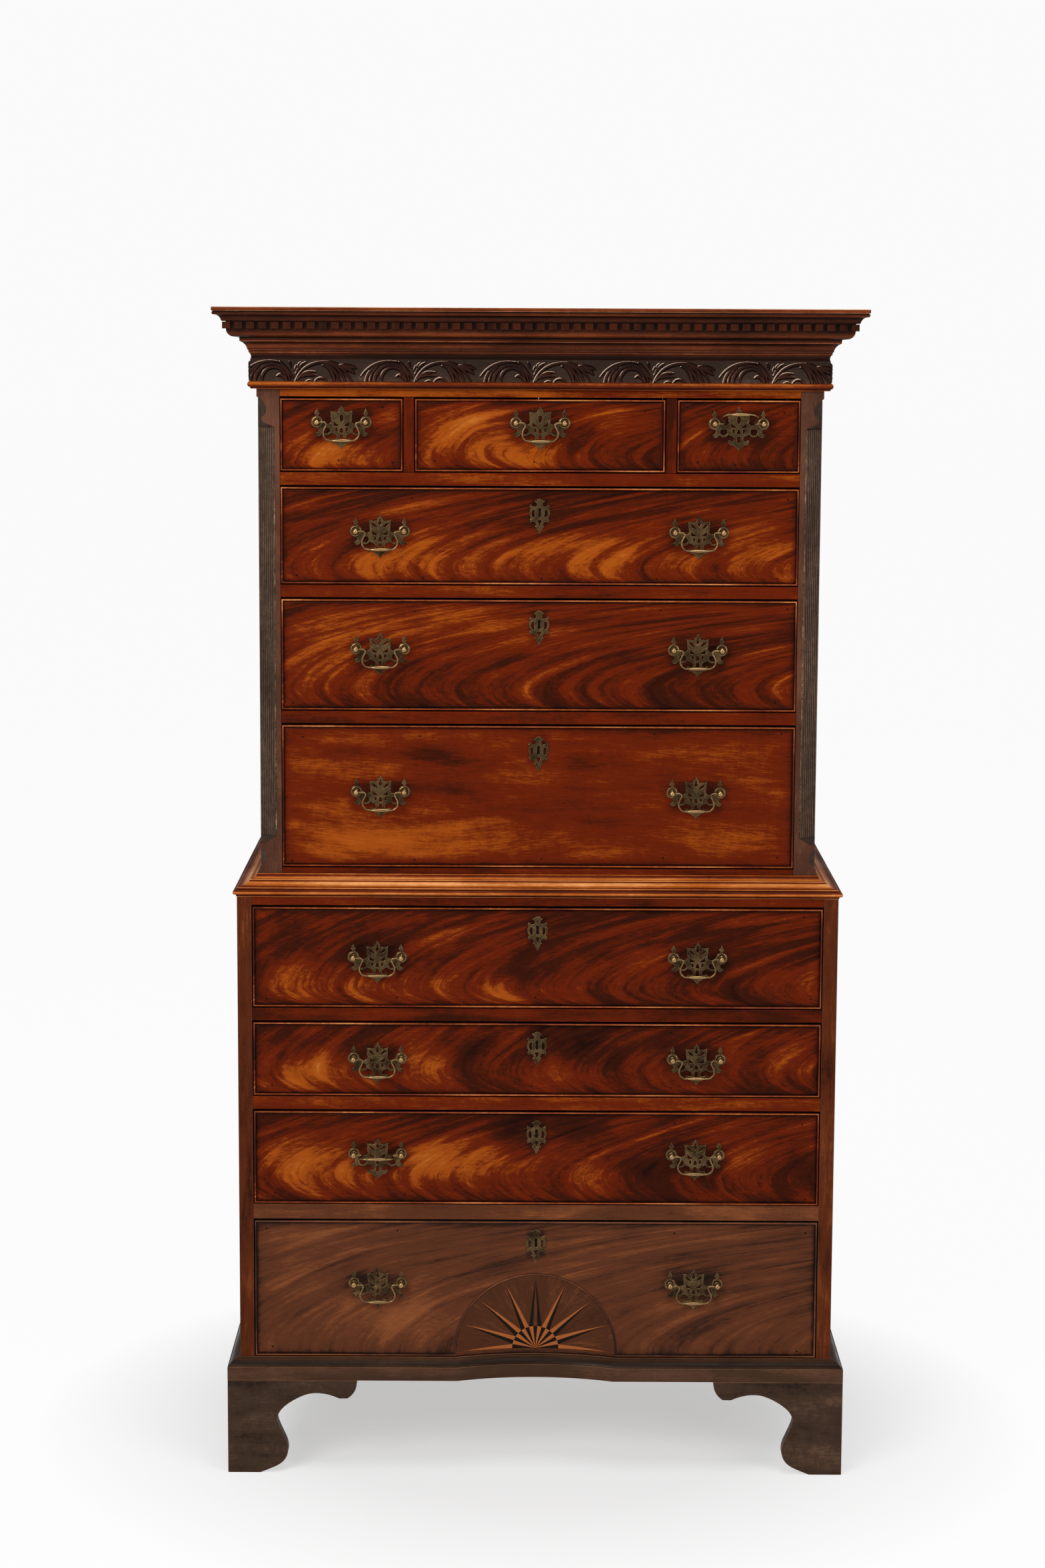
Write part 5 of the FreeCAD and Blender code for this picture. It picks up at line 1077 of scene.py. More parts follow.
def make_drawer_boards(drawer):
    """The front board behind its veneer, and the oak linings."""
    face, base = face_of(drawer), DRAWERS[drawer].foot

    def is_front(low, high):
        return low[1] < face + 0.5 and high[2] - low[2] > 20 and high[0] - low[0] > 100 \
            and high[1] > face + 15

    def is_lining(low, high):
        return low[1] > face + 15

    def sink(points):
        """Move the board's face back by a little more than the thickness of the veneer."""
        points = points.copy()
        ahead = points[:, 1] < face + 0.05
        if drawer == NICHE_DRAWER:
            ahead |= (points[:, 1] < face + 25) & (points[:, 2] < base + 140)
        points[ahead, 1] += VENEER_THICK + 0.05
        return points

    eased(drawer + "_board", drawer + "_wood", ["mahogany"], "drawer_wood", is_front, sink,
          ease=0, body=drawer)
    eased(drawer + "_linings", drawer + "_wood", ["plain_oak", "plain_oak"], "oak", is_lining,
          ease=0.8, seed=0.3, body=drawer)


# --------------------------------------------------------------------------------------------
# Brasses
# --------------------------------------------------------------------------------------------

POST_PROFILE = [(0, -19.3), (1.6, -19.05), (3.1, -18.3), (4.3, -17.1), (5.05, -15.6), (5.3, -14),
                (5.05, -12.4), (4.3, -10.9), (3.2, -9.9), (2.7, -9.2), (2.5, -7.5), (2.6, -5.6),
                (3.1, -4.4), (4.1, -3.9), (4.5, -3.3), (4.6, -2.5), (4.6, -1.5), (2.5, -1.4),
                (2.5, 34), (0, 34)]


# Tone of a post from its knob to its end.
POST_WEAR = [0.3] * 8 + [-0.35] * 5 + [0.1] * 4 + [-0.2] * 3
# Faces with a corner nearer to the axis of a post than the first of these, or between the other
# two, are its own and not the plate's.
SHANK_UP_TO, SEAT_FROM, SEAT_UP_TO = 2.6, 4.4, 4.6
# A lock case lies further behind the face than the first, and nearer to the middle than the second.
LOCK_BEHIND, LOCK_HALF = 8.0, 27.1


def post_places(drawer):
    """Where the axes of the posts of a drawer's handles are, in x and z."""
    size = DRAWERS[drawer]
    return [(size.centre + offset + side, size.foot + size.rise)
            for offset in HANDLES[case_of(drawer)] for side in (-POST_SPACING / 2, POST_SPACING / 2)]


def make_posts(drawer):
    """Turned posts with raised rims round them, and their nuts behind the front."""
    shape = Shape()
    behind = 30 if drawer == NICHE_DRAWER else 22
    nut = [(2.5, behind), (6, behind), (6, behind + 2.6), (5.6, behind + 3), (2.5, behind + 3),
           (2.5, behind)]
    turn = np.linspace(0, 2 * math.pi, 9)
    rim = np.stack([7.3 + 0.75 * np.cos(turn), -1.75 - 0.6 * np.sin(turn)], axis=1)
    for across, height in post_places(drawer):
        centre = (across, face_of(drawer), height)
        turned(shape, POST_PROFILE, centre, tone=POST_WEAR)
        turned(shape, rim, centre, tone=0.2)
        turned(shape, nut, centre, count=12, tone=-0.2)
    shape.piece(drawer + "_posts", drawer, "brass", ["rubbed_brass"], [drawer + "_brasses"])


def make_plates(drawer):
    """Back plates and escutcheon with rounded edges, and the lock case behind the front."""
    points, triangles = triangles_of(drawer + "_brasses")
    corners = points[triangles]
    depth = corners[:, :, 1] - face_of(drawer)
    near_post = np.zeros(len(triangles), bool)
    for across, height in post_places(drawer):
        away = np.hypot(corners[:, :, 0] - across, corners[:, :, 2] - height)
        near_post |= ((away < SHANK_UP_TO) | ((away > SEAT_FROM) & (away < SEAT_UP_TO))).any(axis=1)
    in_plate = (depth > -PLATE_THICK - 0.01).all(axis=1) & (depth < 0.01).all(axis=1) & ~near_post
    pieces = [("plates", in_plate, "rubbed_brass", 0.4)]
    if DRAWERS[drawer].drop:
        in_lock = (depth > LOCK_BEHIND).all(axis=1) & (np.abs(corners[:, :, 0]) < LOCK_HALF).all(axis=1)
        pieces.append(("lock", in_lock, "tarnished_brass", 0.5))
    for label, chosen, edge, ease in pieces:
        used, renumbered = np.unique(triangles[chosen], return_inverse=True)
        mesh = bpy.data.meshes.new("%s_%s" % (drawer, label))
        mesh.from_pydata(points[used] * MM, [], renumbered.reshape(-1, 3).tolist())
        mesh.attributes.new("tone", "FLOAT", "POINT")
        mesh.shade_smooth()
        piece = show(mesh.name, mesh, drawer, "brass", ["tarnished_brass", edge],
                     [drawer + "_brasses"])
        soften(piece, ease * MM, BRASS_EDGE, 1)


def make_keyhole_shade(drawer):
    """Painted shade of the keyhole seen through the escutcheon: a dark oval plug 6.2 by 16.8 mm."""
    size, count = DRAWERS[drawer], 24
    turn = np.linspace(0, 2 * math.pi, count, endpoint=False)
    x = size.centre + 3.1 * np.cos(turn)
    z = size.foot + size.high - size.drop + 8.4 * np.sin(turn)
    shape = Shape()
    shape.add([np.stack([x, 0 * x + face_of(drawer) + depth, z], axis=1) for depth in (-0.25, 0.6)],
              quads(2, count, wrap_columns=True))
    shape.cap(2, count)
    shape.piece(drawer + "_keyhole_shade", drawer, "drawer_wood", ["keyhole_shade_and_pin_heads"], [drawer + "_wood"])


def bail_line():
    """Centre line of a bail hanging down, in x and z from its axis, and its radius there.

    A pin, an arc round a small circle down to a larger one on their common tangent, the larger
    arc, and the grip, whose radius swells as an ellipse.
    """
    neck, corner, drop = 3.5, 11.5, 28.6
    neck_at, corner_at = np.array([-26.5, -neck]), np.array([-16.6, corner - drop])
    span = corner_at - neck_at
    bearing = math.atan2(span[1], span[0]) + math.acos((neck + corner) / np.linalg.norm(span))
    first = np.linspace(math.pi / 2, bearing, 7)
    second = np.linspace(bearing + math.pi, 1.5 * math.pi, 10)
    half = [np.array([[1 - POST_SPACING / 2, 0.0], [-32.0, 0.0], [-28.5, 0.0]]),
            neck_at + neck * np.stack([np.cos(first), np.sin(first)], axis=1),
            corner_at + corner * np.stack([np.cos(second), np.sin(second)], axis=1)]
    half = np.vstack(half)
    grip = np.stack([np.linspace(-15.2, 15.2, 23), np.full(23, -drop)], axis=1)
    line = np.vstack([half, grip, (half * [-1, 1])[::-1]])
    swell = 2.7 * np.sqrt(np.maximum(1 - (line[:, 0] / 16.4) ** 2, 0))
    low = line[:, 1] < 0.5 - drop
    radius = np.where(low, np.maximum(swell, 1.5), 1.5)
    return line, radius


def make_bail(body, angle):
    """A bail as a tube of varying radius, turned about its axis to where it rests."""
    count = bpy.context.scene.chest_brass.segments
    line, radius = bail_line()
    tangent = np.gradient(line, axis=0)
    tangent /= np.linalg.norm(tangent, axis=1)[:, None]
    side = np.stack([tangent[:, 1], -tangent[:, 0]], axis=1)
    turn = np.linspace(0, 2 * math.pi, count, endpoint=False)
    ring = radius[:, None, None] * (np.cos(turn)[None, :, None]
                                    * np.stack([side[:, 0], 0 * side[:, 0], side[:, 1]], 1)[:, None]
                                    + np.sin(turn)[None, :, None] * np.array([0.0, 1.0, 0.0]))
    points = np.stack([line[:, 0], 0 * line[:, 0], line[:, 1]], axis=1)[:, None, :] + ring
    turned_by = np.array(Matrix.Rotation(angle, 3, (-1, 0, 0)))
    points = points @ turned_by.T + PIVOTS[body]
    shape = Shape()
    # The grip is lighter: wear where it is held, and a painted highlight.
    wear_and_highlight = np.where(radius > 1.6, 0.22, 0.0)
    shape.add(points, quads(len(line), count, wrap_columns=True), None, np.repeat(wear_and_highlight, count))
    shape.cap(len(line), count)
    shape.piece(body, body, "brass", ["rubbed_brass"], [body])


# --------------------------------------------------------------------------------------------
# Operators
# --------------------------------------------------------------------------------------------

def u_path(half, face, hollow=False):
    """Plan of a moulding: back left, front left, front right, back right."""
    left = [(-half, BACK), (-half, face)]
    right = [(half, face), (half, BACK)]
    if not hollow:
        return left + right
    turn = np.linspace(-1, 1, 33) * math.asin(NICHE_HALF / NICHE_RADIUS)
    axis = face + NICHE_DEEP - NICHE_RADIUS
    arc = [(NICHE_RADIUS * math.sin(angle), axis + NICHE_RADIUS * math.cos(angle))
           for angle in turn]
    return left + arc + right


class CHEST_OT_finishes(bpy.types.Operator):
    """Make the woods and the metals"""
    bl_idname = "chest.finishes"
    bl_label = "Finishes"

    def execute(self, context):
        grain_group()
        grime_group()
        make_red_woods(context.scene.chest_wood)
        make_dull_woods()
        make_dark_woods()
        make_frieze_woods()
        make_oak(context.scene.chest_wood)
        make_inlay_woods()
        make_metals(context.scene.chest_brass)
        make_keyhole_shade_and_pin_heads()
        return {"FINISHED"}


# Rails of the lower case from this height down are faded.  Tones of the other rails at heights,
# and of the uprights between the short drawers, which are narrower than any rail.
FADED_UP_TO = 500.0
LOWER_RAIL_TONES = (600, 740, 760, 920, 935), (0.05, -0.1, -0.1, -0.04, -0.05)
UPPER_RAIL_TONES = (1200, 1400, 1600, 1735), (-0.02, 0.02, 0.04, 0.14)
UPRIGHT_WIDE, UPRIGHT_TONE = 100.0, -0.05

# The corner posts: heights between which they are reeded, how far in from the side the reeded face
# ends, and the place in from the side and the ends of the worn arris beside it.
REEDS, REEDS_IN = (1037.5, 1684.9), 28.2
ARRIS_IN, ARRIS_ENDS = 26.9, (1048.0, 1676.0)


def upper_rail_tone(low, high):
    """Tone of a rail of the upper case, or of an upright, by its box."""
    upright = high[0] - low[0] < UPRIGHT_WIDE
    return UPRIGHT_TONE if upright else np.interp(low[2], *UPPER_RAIL_TONES)


def make_corner_posts():
    """The canted posts, with painted shade in the hollows between their reeds and lighter ridges."""
    eased("corner_posts", "reeded_corners", ["dark_mahogany", "reeded"], "show_wood",
          tone=lambda low, high: 0.08, ease=0)
    posts = bpy.data.objects["corner_posts"].data
    reeds = np.array([abs(face.center.x) > (UPPER_HALF - REEDS_IN) * MM
                      and REEDS[0] < face.center.z / MM < REEDS[1]
                      and face.normal.y > -0.98 and abs(face.normal.x) > 0.02
                      for face in posts.polygons])
    posts.polygons.foreach_set("material_index", reeds.astype(np.int32))
    place = np.empty(3 * len(posts.vertices), np.float32)
    posts.vertices.foreach_get("co", place)
    x, y, z = place.reshape(-1, 3).T / MM
    # Painted shade: darker with depth into the hollows of the reeds, lighter on their ridges.
    outwards = (np.abs(x) - y) / math.sqrt(2)
    canted = (z > REEDS[0]) & (z < REEDS[1]) & (y > UP_FRONT + 0.05)
    ridge = outwards[canted].max()
    level = np.where(canted, np.interp(outwards, [ridge - 2.2, ridge], [-0.34, 0.16]), 0.08)
    posts.attributes["tone"].data.foreach_set("value", level.astype(np.float32))


def make_worn_arrises():
    """A thin pale strip along the front arris of each reeded face."""
    shape = Shape()
    for side in (-1, 1):
        x, y = side * (UPPER_HALF - ARRIS_IN), UP_FRONT - 0.12
        worn = [[(x + across, y + deep, height) for across, deep in
                 ((-0.5, 0.0), (0.0, -0.12), (0.5, 0.1), (0.5, 0.9), (-0.5, 0.6))]
                for height in ARRIS_ENDS]
        shape.add(worn, quads(2, 5, wrap_columns=True))
        shape.cap(2, 5)
    shape.piece("worn_post_arrises", "cabinet", "show_wood", ["worn_arris"])


class CHEST_OT_carcass(bpy.types.Operator):
    """Make the sides, rails, backs and hidden boards of both cases"""
    bl_idname = "chest.carcass"
    bl_label = "Carcasses"

    def execute(self, context):
        eased("lower_case_sides", "lower_sides", ["stile_wood", "dark_rubbed"], "show_wood",
              seed=0.1, tone=lambda low, high: 0.0)
        eased("upper_case_sides", "upper_sides", ["dull_mahogany", "dark_rubbed"], "show_wood",
              seed=0.7, tone=lambda low, high: 0.03)
        # The rails' rounded edges take a painted shade.
        eased("lower_case_rails", "lower_rails", ["mahogany", "rail_edge_shade"], "show_wood", seed=0.2,
              keep=lambda low, high: low[2] > FADED_UP_TO,
              tone=lambda low, high: np.interp(low[2], *LOWER_RAIL_TONES))
        eased("lower_case_low_rails", "lower_rails", ["dull_mahogany", "dull_mahogany"], "show_wood",
              seed=0.2, keep=lambda low, high: low[2] <= FADED_UP_TO, tone=lambda low, high: 0.05)
        eased("upper_case_rails", "upper_rails", ["mahogany", "rail_edge_shade"], "show_wood", seed=0.4,
              tone=upper_rail_tone)
        for name in ("lower_dustboards", "lower_back", "upper_dustboards", "upper_back",
                     "foot_blocks"):
            eased(name + "_oak", name, ["plain_oak", "plain_oak"], "oak", seed=len(name) * 0.13,
                  tone=lambda low, high: 0.17 * math.sin(low[0] / 47 + low[2] / 300))
        make_corner_posts()
        make_worn_arrises()
        return {"FINISHED"}


class CHEST_OT_feet(bpy.types.Operator):
    """Make the shaped bracket feet"""
    bl_idname = "chest.feet"
    bl_label = "Bracket feet"

    def execute(self, context):
        eased("bracket_feet_shaped", "bracket_feet", ["foot_wood", "dark_rubbed"],
              "show_wood_dark", grain=0, seed=0.5, ease=1.3)
        return {"FINISHED"}


WAIST = [(0, 0), (35, 0), (35, 3), (39, 4.4, 4.4), (37.4, 11.4), (34, 11.4), (34, 14.6),
         (32, 14.6, -40), (15, 22.2), (15, 24.6), (13, 24.6, -11), (4.4, 29), (4.4, 32.7), (0, 32.7)]
PLINTH = [(0, 0), (19.5, 0), (19.5, 22.3), (17.9, 22.3, 16), (3, 33.1), (3, 34.5), (0, 34.5)]
ASTRAGAL = [(0, 0), (8.9, 0), (8.9, 2.6), (9.5, 2.6, 4.7), (9.5, 11.8), (0, 11.8)]
CORNICE = [(0, 0), (8.3, 0, -7.6), (11, 10), (11, 13.4), (12.4, 13.4, -17), (24, 27.4), (24, 33),
           (31.5, 34, 12), (43, 45.5), (43, 58), (49, 58), (50, 59.4, -11), (59, 68), (61, 68, 3),
           (61, 73.8), (64, 73.8), (64, 80), (40, 80), (0, 22)]

# Painted light and shade at heights up each outline: darker in the hollows and under the parts
# that stand out, lighter on the rounds and fillets that face the light.
PLINTH_LIGHT_AND_SHADE = [(0, 0.02), (21.5, 0.06), (23, -0.04), (26, -0.22), (29, -0.26), (31, -0.1),
                (33, 0.06), (34.5, 0.0)]
WAIST_LIGHT_AND_SHADE = [(0, -0.1), (3, -0.06), (4, 0.02), (5.5, 0.14), (6.8, 0.34), (8, 0.26), (9.5, -0.1),
               (11.4, -0.1), (12.3, 0.07), (15, 0.0), (16.5, 0.2), (17.7, 0.34), (20.4, 0.38),
               (22, 0.16), (23, 0.02), (24.6, 0.12), (26, 0.34), (27.5, 0.16), (28.5, 0.04),
               (31, -0.02), (32, -0.14)]
ASTRAGAL_LIGHT_AND_SHADE = [(0, -0.12), (2.6, -0.24), (4, -0.12), (6.3, 0.02), (9, 0.14), (10.5, 0.1),
                  (11.8, 0.02)]
CORNICE_LIGHT_AND_SHADE = [(0, -0.3), (3, -0.22), (6, -0.16), (8, -0.02), (9.5, 0.04), (12.5, 0.0),
                 (15.5, -0.04), (18.5, 0.12), (21.5, 0.12), (25, -0.2), (28, 0.04), (31, 0.03),
                 (34, -0.12), (37, 0.17), (40, 0.13), (43, -0.05), (46, -0.12), (47, -0.3),
                 (57, -0.3), (58.5, -0.2), (61.5, 0.02), (65, -0.14), (67.5, -0.24), (68, 0.14),
                 (71, -0.04), (73.5, -0.3), (74, 0.02), (77, 0.08), (79, 0.12), (80, 0.14)]

# Each moulding: its piece, the node it stands for, slot, wood, outline, height of its foot, ease of
# its arrises and how much lighter they are (wear and a painted highlight), and its painted light and
# shade up the outline.
Run = namedtuple("Run", "piece node slot wood outline foot ease rub shade")
RUNS = [
    Run("plinth_run", "plinth_moulding", "show_wood", "plinth_wood", PLINTH, 155.0, 0.9, 0.45,
        PLINTH_LIGHT_AND_SHADE),
    Run("waist_run", "waist_moulding", "show_wood", "waist_wood", WAIST, 945.3, 1.2, 0.5,
        WAIST_LIGHT_AND_SHADE),
    Run("astragal_run", "frieze_and_astragal", "show_wood_dark", "waist_wood", ASTRAGAL, 1745.6,
        1.0, 0.4, ASTRAGAL_LIGHT_AND_SHADE),
    Run("cornice_run", "cornice", "show_wood_dark", "cornice_wood", CORNICE, 1792.0, 1.2, 0.42,
        CORNICE_LIGHT_AND_SHADE),
]


class CHEST_OT_mouldings(bpy.types.Operator):
    """Make the plinth, waist, astragal and cornice mouldings, and the dentils"""
    bl_idname = "chest.mouldings"
    bl_label = "Mouldings"

    def execute(self, context):
        plinth_path = u_path(LOWER_HALF, LOW_FRONT, hollow=True)
        upper_path = u_path(UPPER_HALF, UP_FRONT)
        for run in RUNS:
            path = plinth_path if run.outline is PLINTH else upper_path
            shape = Shape()
            moulding(shape, run.outline, path, run.foot, breaks=(1, len(path) - 2), ease=run.ease,
                     rub=run.rub, shade=run.shade)
            shape.piece(run.piece, "cabinet", run.slot, [run.wood], [run.node])
        eased("dentil_blocks", "dentils", ["cornice_wood", "cornice_wood"], "show_wood_dark",
              grain=2, ease=0.6, tone=lambda low, high: -0.06)
        return {"FINISHED"}


# Strokes of one repeat of the carving: four control points of a curve (x from the fork of the
# stems, z above the foot of the frieze) and the half widths at its two ends and its middle.
REPEAT, FORK, LEAF_SPREAD = 186.3, -13.5, 1.38
STROKES = [
    # the arch that leans left, its inner leaves and its bud
    ((-1, 6), (-7, 15), (-13, 25), (-21, 30.5), 1.3, 2.0, 1.2),
    ((-5, 1), (-10, 24), (-28, 32), (-43, 24), 1.2, 2.6, 2.6),
    ((-43, 24), (-54, 19), (-59, 9), (-59, 0), 2.6, 2.8, 1.6),
    ((-9, 1), (-14, 20), (-28, 27), (-41, 18), 0.9, 2.2, 2.4),
    ((-41, 18), (-47, 13), (-49, 7), (-47, 2), 2.4, 2.2, 0.8),
    ((-24, 31), (-44, 33), (-66, 28), (-80, 9), 1.0, 2.2, 1.0),
    ((-38, 30), (-58, 28), (-70, 15), (-73, 0), 1.2, 2.4, 1.8),
    ((-52, 24), (-61, 18), (-66, 9), (-66, 0), 1.0, 1.8, 1.4),
    ((-25, 8), (-20, 13), (-14, 8), (-10, 0), 1.2, 2.2, 0.8),
    # the three small leaves over the fork
    ((-6, 31), (-4, 28), (-3, 25), (-3, 21), 0.6, 1.3, 0.5),
    ((5, 25), (4, 22), (3, 19), (3, 16), 0.8, 1.5, 0.5),
    ((12, 30), (9, 28), (7, 25), (7, 22), 0.7, 1.3, 0.6),
    ((20, 30), (14, 27), (8, 20), (4, 12), 0.8, 2.2, 1.0),
    # the stem and the arch that lean right
    ((3, 0), (11, 19), (28, 30), (52, 30), 1.0, 2.2, 2.0),
    ((52, 30), (66, 29), (80, 22), (92, 0), 2.0, 2.2, 0.9),
    ((44, 29), (64, 30), (76, 16), (82, 0), 0.8, 2.0, 1.0),
    ((44, 28), (60, 28), (68, 14), (73, 0), 0.8, 2.0, 1.3),
    ((46, 25), (57, 25), (62, 13), (65, 0), 1.0, 2.6, 1.9),
    ((70, 25), (80, 24), (90, 24), (99, 20), 1.0, 3.0, 0.8),
    ((76, 23), (84, 20), (92, 18), (96, 12), 1.0, 2.8, 0.8),
    ((6, 2), (14, 13), (25, 16), (36, 15), 0.9, 2.4, 0.8),
    ((12, 6), (20, 11), (30, 11), (38, 9), 0.9, 2.4, 0.8),
    ((34, 0), (38, 7), (48, 7), (53, 0), 1.0, 1.7, 1.2),
    ((20, 0), (24, 3), (27, 3), (31, 0), 0.7, 1.0, 0.7),
]


def carved_height(across, up):
    """Height of the carving, 0 to 1, at distances across one repeat and up the frieze.

    A stroke is round-backed: (1 - (distance / half width) ** 2) ** 0.8.  The carving is the highest
    of its strokes, so that a hollow is left where two of them meet.
    """
    shift = (across - FORK + REPEAT / 2) % REPEAT - REPEAT / 2
    share = np.linspace(0, 1, 72)
    basis = np.stack([(1 - share) ** 3, 3 * share * (1 - share) ** 2, 3 * share ** 2 * (1 - share),
                      share ** 3], axis=1)
    height = np.zeros(across.shape)
    for first, second, third, fourth, start, middle, end in STROKES:
        line = basis @ np.array([first, second, third, fourth], float)
        width = start * (1 - share) ** 2 + 2 * (2 * middle - (start + end) / 2) * share * (1 - share) \
            + end * share ** 2
        for offset in (-REPEAT, 0, REPEAT):
            near = np.full(across.shape, 9.0)
            for point, half in zip(line, width):
                away = np.hypot(shift - point[0] - offset, up - point[1])
                near = np.minimum(near, away / (LEAF_SPREAD * half))
            back = np.clip(1 - near ** 2, 0, 1) ** 0.8
            height = np.maximum(height, back)
    return height


# The carving on its board: heights of its lower and upper edge over the board's foot, how far its
# ground stands before the board and its back behind the board's face, and the height of the relief
# up to which the ground counts as bare.
CARVED_FROM, CARVED_UP_TO, GROUND_OUT, BACK_IN, BARE = 0.1, 34.5, 0.25, 0.6, 0.04


def carve(name, start, end, place, replaces=()):
    """A slab with the carving on its face; place(along, out, z) puts points on the frieze.

    Painted light and shade: the carving is lighter where the relief faces up and to the left and
    darker where it faces down and to the right, by its slope per millimetre.  It is also darker
    towards the foot of each stroke and the top of the frieze, and lighter towards its foot.
    """
    settings = bpy.context.scene.chest_carving
    cell, relief = settings.cell / MM, settings.relief / MM
    along = np.linspace(start, end, int((end - start) / cell) + 1)
    up = np.linspace(CARVED_FROM, CARVED_UP_TO, int((CARVED_UP_TO - CARVED_FROM) / cell) + 1)
    one = np.arange(0, REPEAT, cell)
    tile = carved_height(*np.meshgrid(one, up, indexing="xy"))
    index = np.rint((along % REPEAT) / REPEAT * (len(one) - 1)).astype(int)
    height = tile[:, index]
    wide, tall = np.meshgrid(along, up, indexing="xy")
    # Painted highlights on slopes that face up and left, painted shade on the others and under the
    # cornice.
    facing = np.gradient(height, cell, axis=1) * 0.6 - np.gradient(height, cell, axis=0) * 0.8
    painted_highlight = np.clip(facing - 0.2, 0.0, 0.35)
    shaded = np.clip(-facing - 0.05, 0.0, 0.3)
    carving_light_and_shade = np.where(height > BARE, 0.42 * height - 0.42 + 3.2 * painted_highlight - 1.1 * shaded, 0.0)
    carving_light_and_shade = carving_light_and_shade + np.interp(tall, (0.0, 8.0, CARVED_UP_TO), (0.12, 0.0, -0.14))
    bare = height < BARE
    bare = bare[:-1, :-1] & bare[1:, :-1] & bare[:-1, 1:] & bare[1:, 1:]
    shape = Shape()
    shape.add(place(wide, GROUND_OUT + relief * height, tall), quads(*wide.shape),
              np.stack([wide, tall, 0 * wide], axis=-1), carving_light_and_shade, bare.ravel().astype(int))
    rows, columns = wide.shape
    ring = np.concatenate([np.arange(columns), np.arange(2, rows + 1) * columns - 1,
                           (rows - 1) * columns + np.arange(columns - 2, -1, -1),
                           np.arange(rows - 2, 0, -1) * columns])
    rim = np.stack([wide.ravel()[ring], tall.ravel()[ring]], axis=1)
    back = place(rim[:, 0], 0 * rim[:, 0] - BACK_IN, rim[:, 1])
    first, here = shape.count, np.arange(len(ring))
    shape.add(back, [here], None, -0.1)
    ahead = np.roll(here, -1)
    shape.close(np.stack([ring, ring[ahead], first + ahead, first + here], axis=1))
    shape.piece(name, "cabinet", "show_wood_dark", ["carved", "frieze_ground"], replaces, sharp=70.0)


# How far the frieze stands out from the upper case, the height of its foot, and a height that
# parts its boards from the astragal.
FRIEZE_OUT, FRIEZE_FOOT, OVER_ASTRAGAL = 8.3, 1757.4, 1750.0


class CHEST_OT_frieze(bpy.types.Operator):
    """Make the frieze boards and their carving"""
    bl_idname = "chest.frieze"
    bl_label = "Carved frieze"

    def execute(self, context):
        node = "frieze_and_astragal"
        eased("frieze_boards", node, ["carved", "carved"], "show_wood_dark",
              keep=lambda low, high: low[2] > OVER_ASTRAGAL, ease=0.5)
        half, face = UPPER_HALF + FRIEZE_OUT, UP_FRONT - FRIEZE_OUT
        carve("frieze_carving_front", -half, half,
              lambda along, out, z: np.stack([along, face - out, FRIEZE_FOOT + z], axis=-1), [node])
        for side, label in ((-1, "left"), (1, "right")):
            carve("frieze_carving_" + label, face, BACK,
                  lambda along, out, z: np.stack([side * (half + out), along, FRIEZE_FOOT + z],
                                                 axis=-1), [node])
        return {"FINISHED"}


class CHEST_OT_drawers(bpy.types.Operator):
    """Make the fronts, cockbeads and linings of the ten drawers"""
    bl_idname = "chest.drawers"
    bl_label = "Drawers"

    def execute(self, context):
        for drawer in DRAWERS:
            make_veneer(drawer)
            make_cockbeads(drawer)
            make_pins(drawer)
            make_drawer_boards(drawer)
        make_inlay()
        return {"FINISHED"}


# Bails that don't hang straight down at rest, and how far they are up, in degrees.
RAISED_BAILS = {"short_drawer_right_bail": 122.0, "lower_drawer_three_bail_left": 92.0}


class CHEST_OT_brasses(bpy.types.Operator):
    """Make the plates, posts, bails and locks"""
    bl_idname = "chest.brasses"
    bl_label = "Brasses"

    def execute(self, context):
        for drawer, size in DRAWERS.items():
            make_plates(drawer)
            make_posts(drawer)
            if size.drop:
                make_keyhole_shade(drawer)
        for body in PIVOTS:
            make_bail(body, math.radians(RAISED_BAILS.get(body, 0.0)))
        for name, node in frame["nodes"].items():
            if name.endswith("_lock_bolt"):
                node.material_slots[0].link = "OBJECT"
                node.material_slots[0].material = finish_of("tarnished_brass")
        return {"FINISHED"}


def lamp(name, place, height, size, power):
    """A square soft lamp that faces a point at a height on the upright through the origin."""
    data = bpy.data.lights.new(name, "AREA")
    data.size, data.energy = size, power
    made = bpy.data.objects.new(name, data)
    bpy.context.scene.collection.objects.link(made)
    away = Vector(place) - Vector((0.0, 0.0, height))
    made.rotation_euler = away.to_track_quat("Z", "Y").to_euler()
    made.location = place


# Half the side of the square floor, in metres, and how bright the sky looks, which is the
# brightness of the floor far from the chest, so that no horizon shows.
FLOOR_HALF, SKY_SEEN = 60.0, 0.96


def make_floor():
    """A square floor that shows shadows near the chest and is almost evenly bright further out."""
    across, along = np.meshgrid([-FLOOR_HALF, FLOOR_HALF], [-FLOOR_HALF, FLOOR_HALF])
    points = np.stack([across, along, 0 * across], axis=-1).reshape(-1, 3)
    mesh = bpy.data.meshes.new("floor")
    mesh.from_pydata(points, [], quads(2, 2).tolist())
    floor = bpy.data.objects.new("floor", mesh)
    bpy.context.scene.collection.objects.link(floor)
    tree, surface = blank_material("floor")
    path = add(tree, "ShaderNodeLightPath")
    away = add(tree, "ShaderNodeVectorMath",
               {0: add(tree, "ShaderNodeTexCoord").outputs["Object"]}, operation="LENGTH")
    far = add(tree, "ShaderNodeMapRange", {0: away.outputs["Value"], 1: 0.4, 2: 0.85,
                                           3: 0.5, 4: 0.95})
    seen = calc(tree, "MINIMUM", calc(tree, "ADD", path.outputs["Is Camera Ray"],
                                      path.outputs["Is Glossy Ray"]), far.outputs[0])
    paint = add(tree, "ShaderNodeBsdfDiffuse", {"Color": (0.92, 0.92, 0.92, 1.0)})
    glow = add(tree, "ShaderNodeEmission", {"Color": (1.0, 1.0, 1.0, 1.0), "Strength": 1.0})
    mixed = add(tree, "ShaderNodeMixShader", {0: seen, 1: paint.outputs[0], 2: glow.outputs[0]})
    tree.links.new(mixed.outputs[0], surface)
    mesh.materials.append(finish_of("floor"))


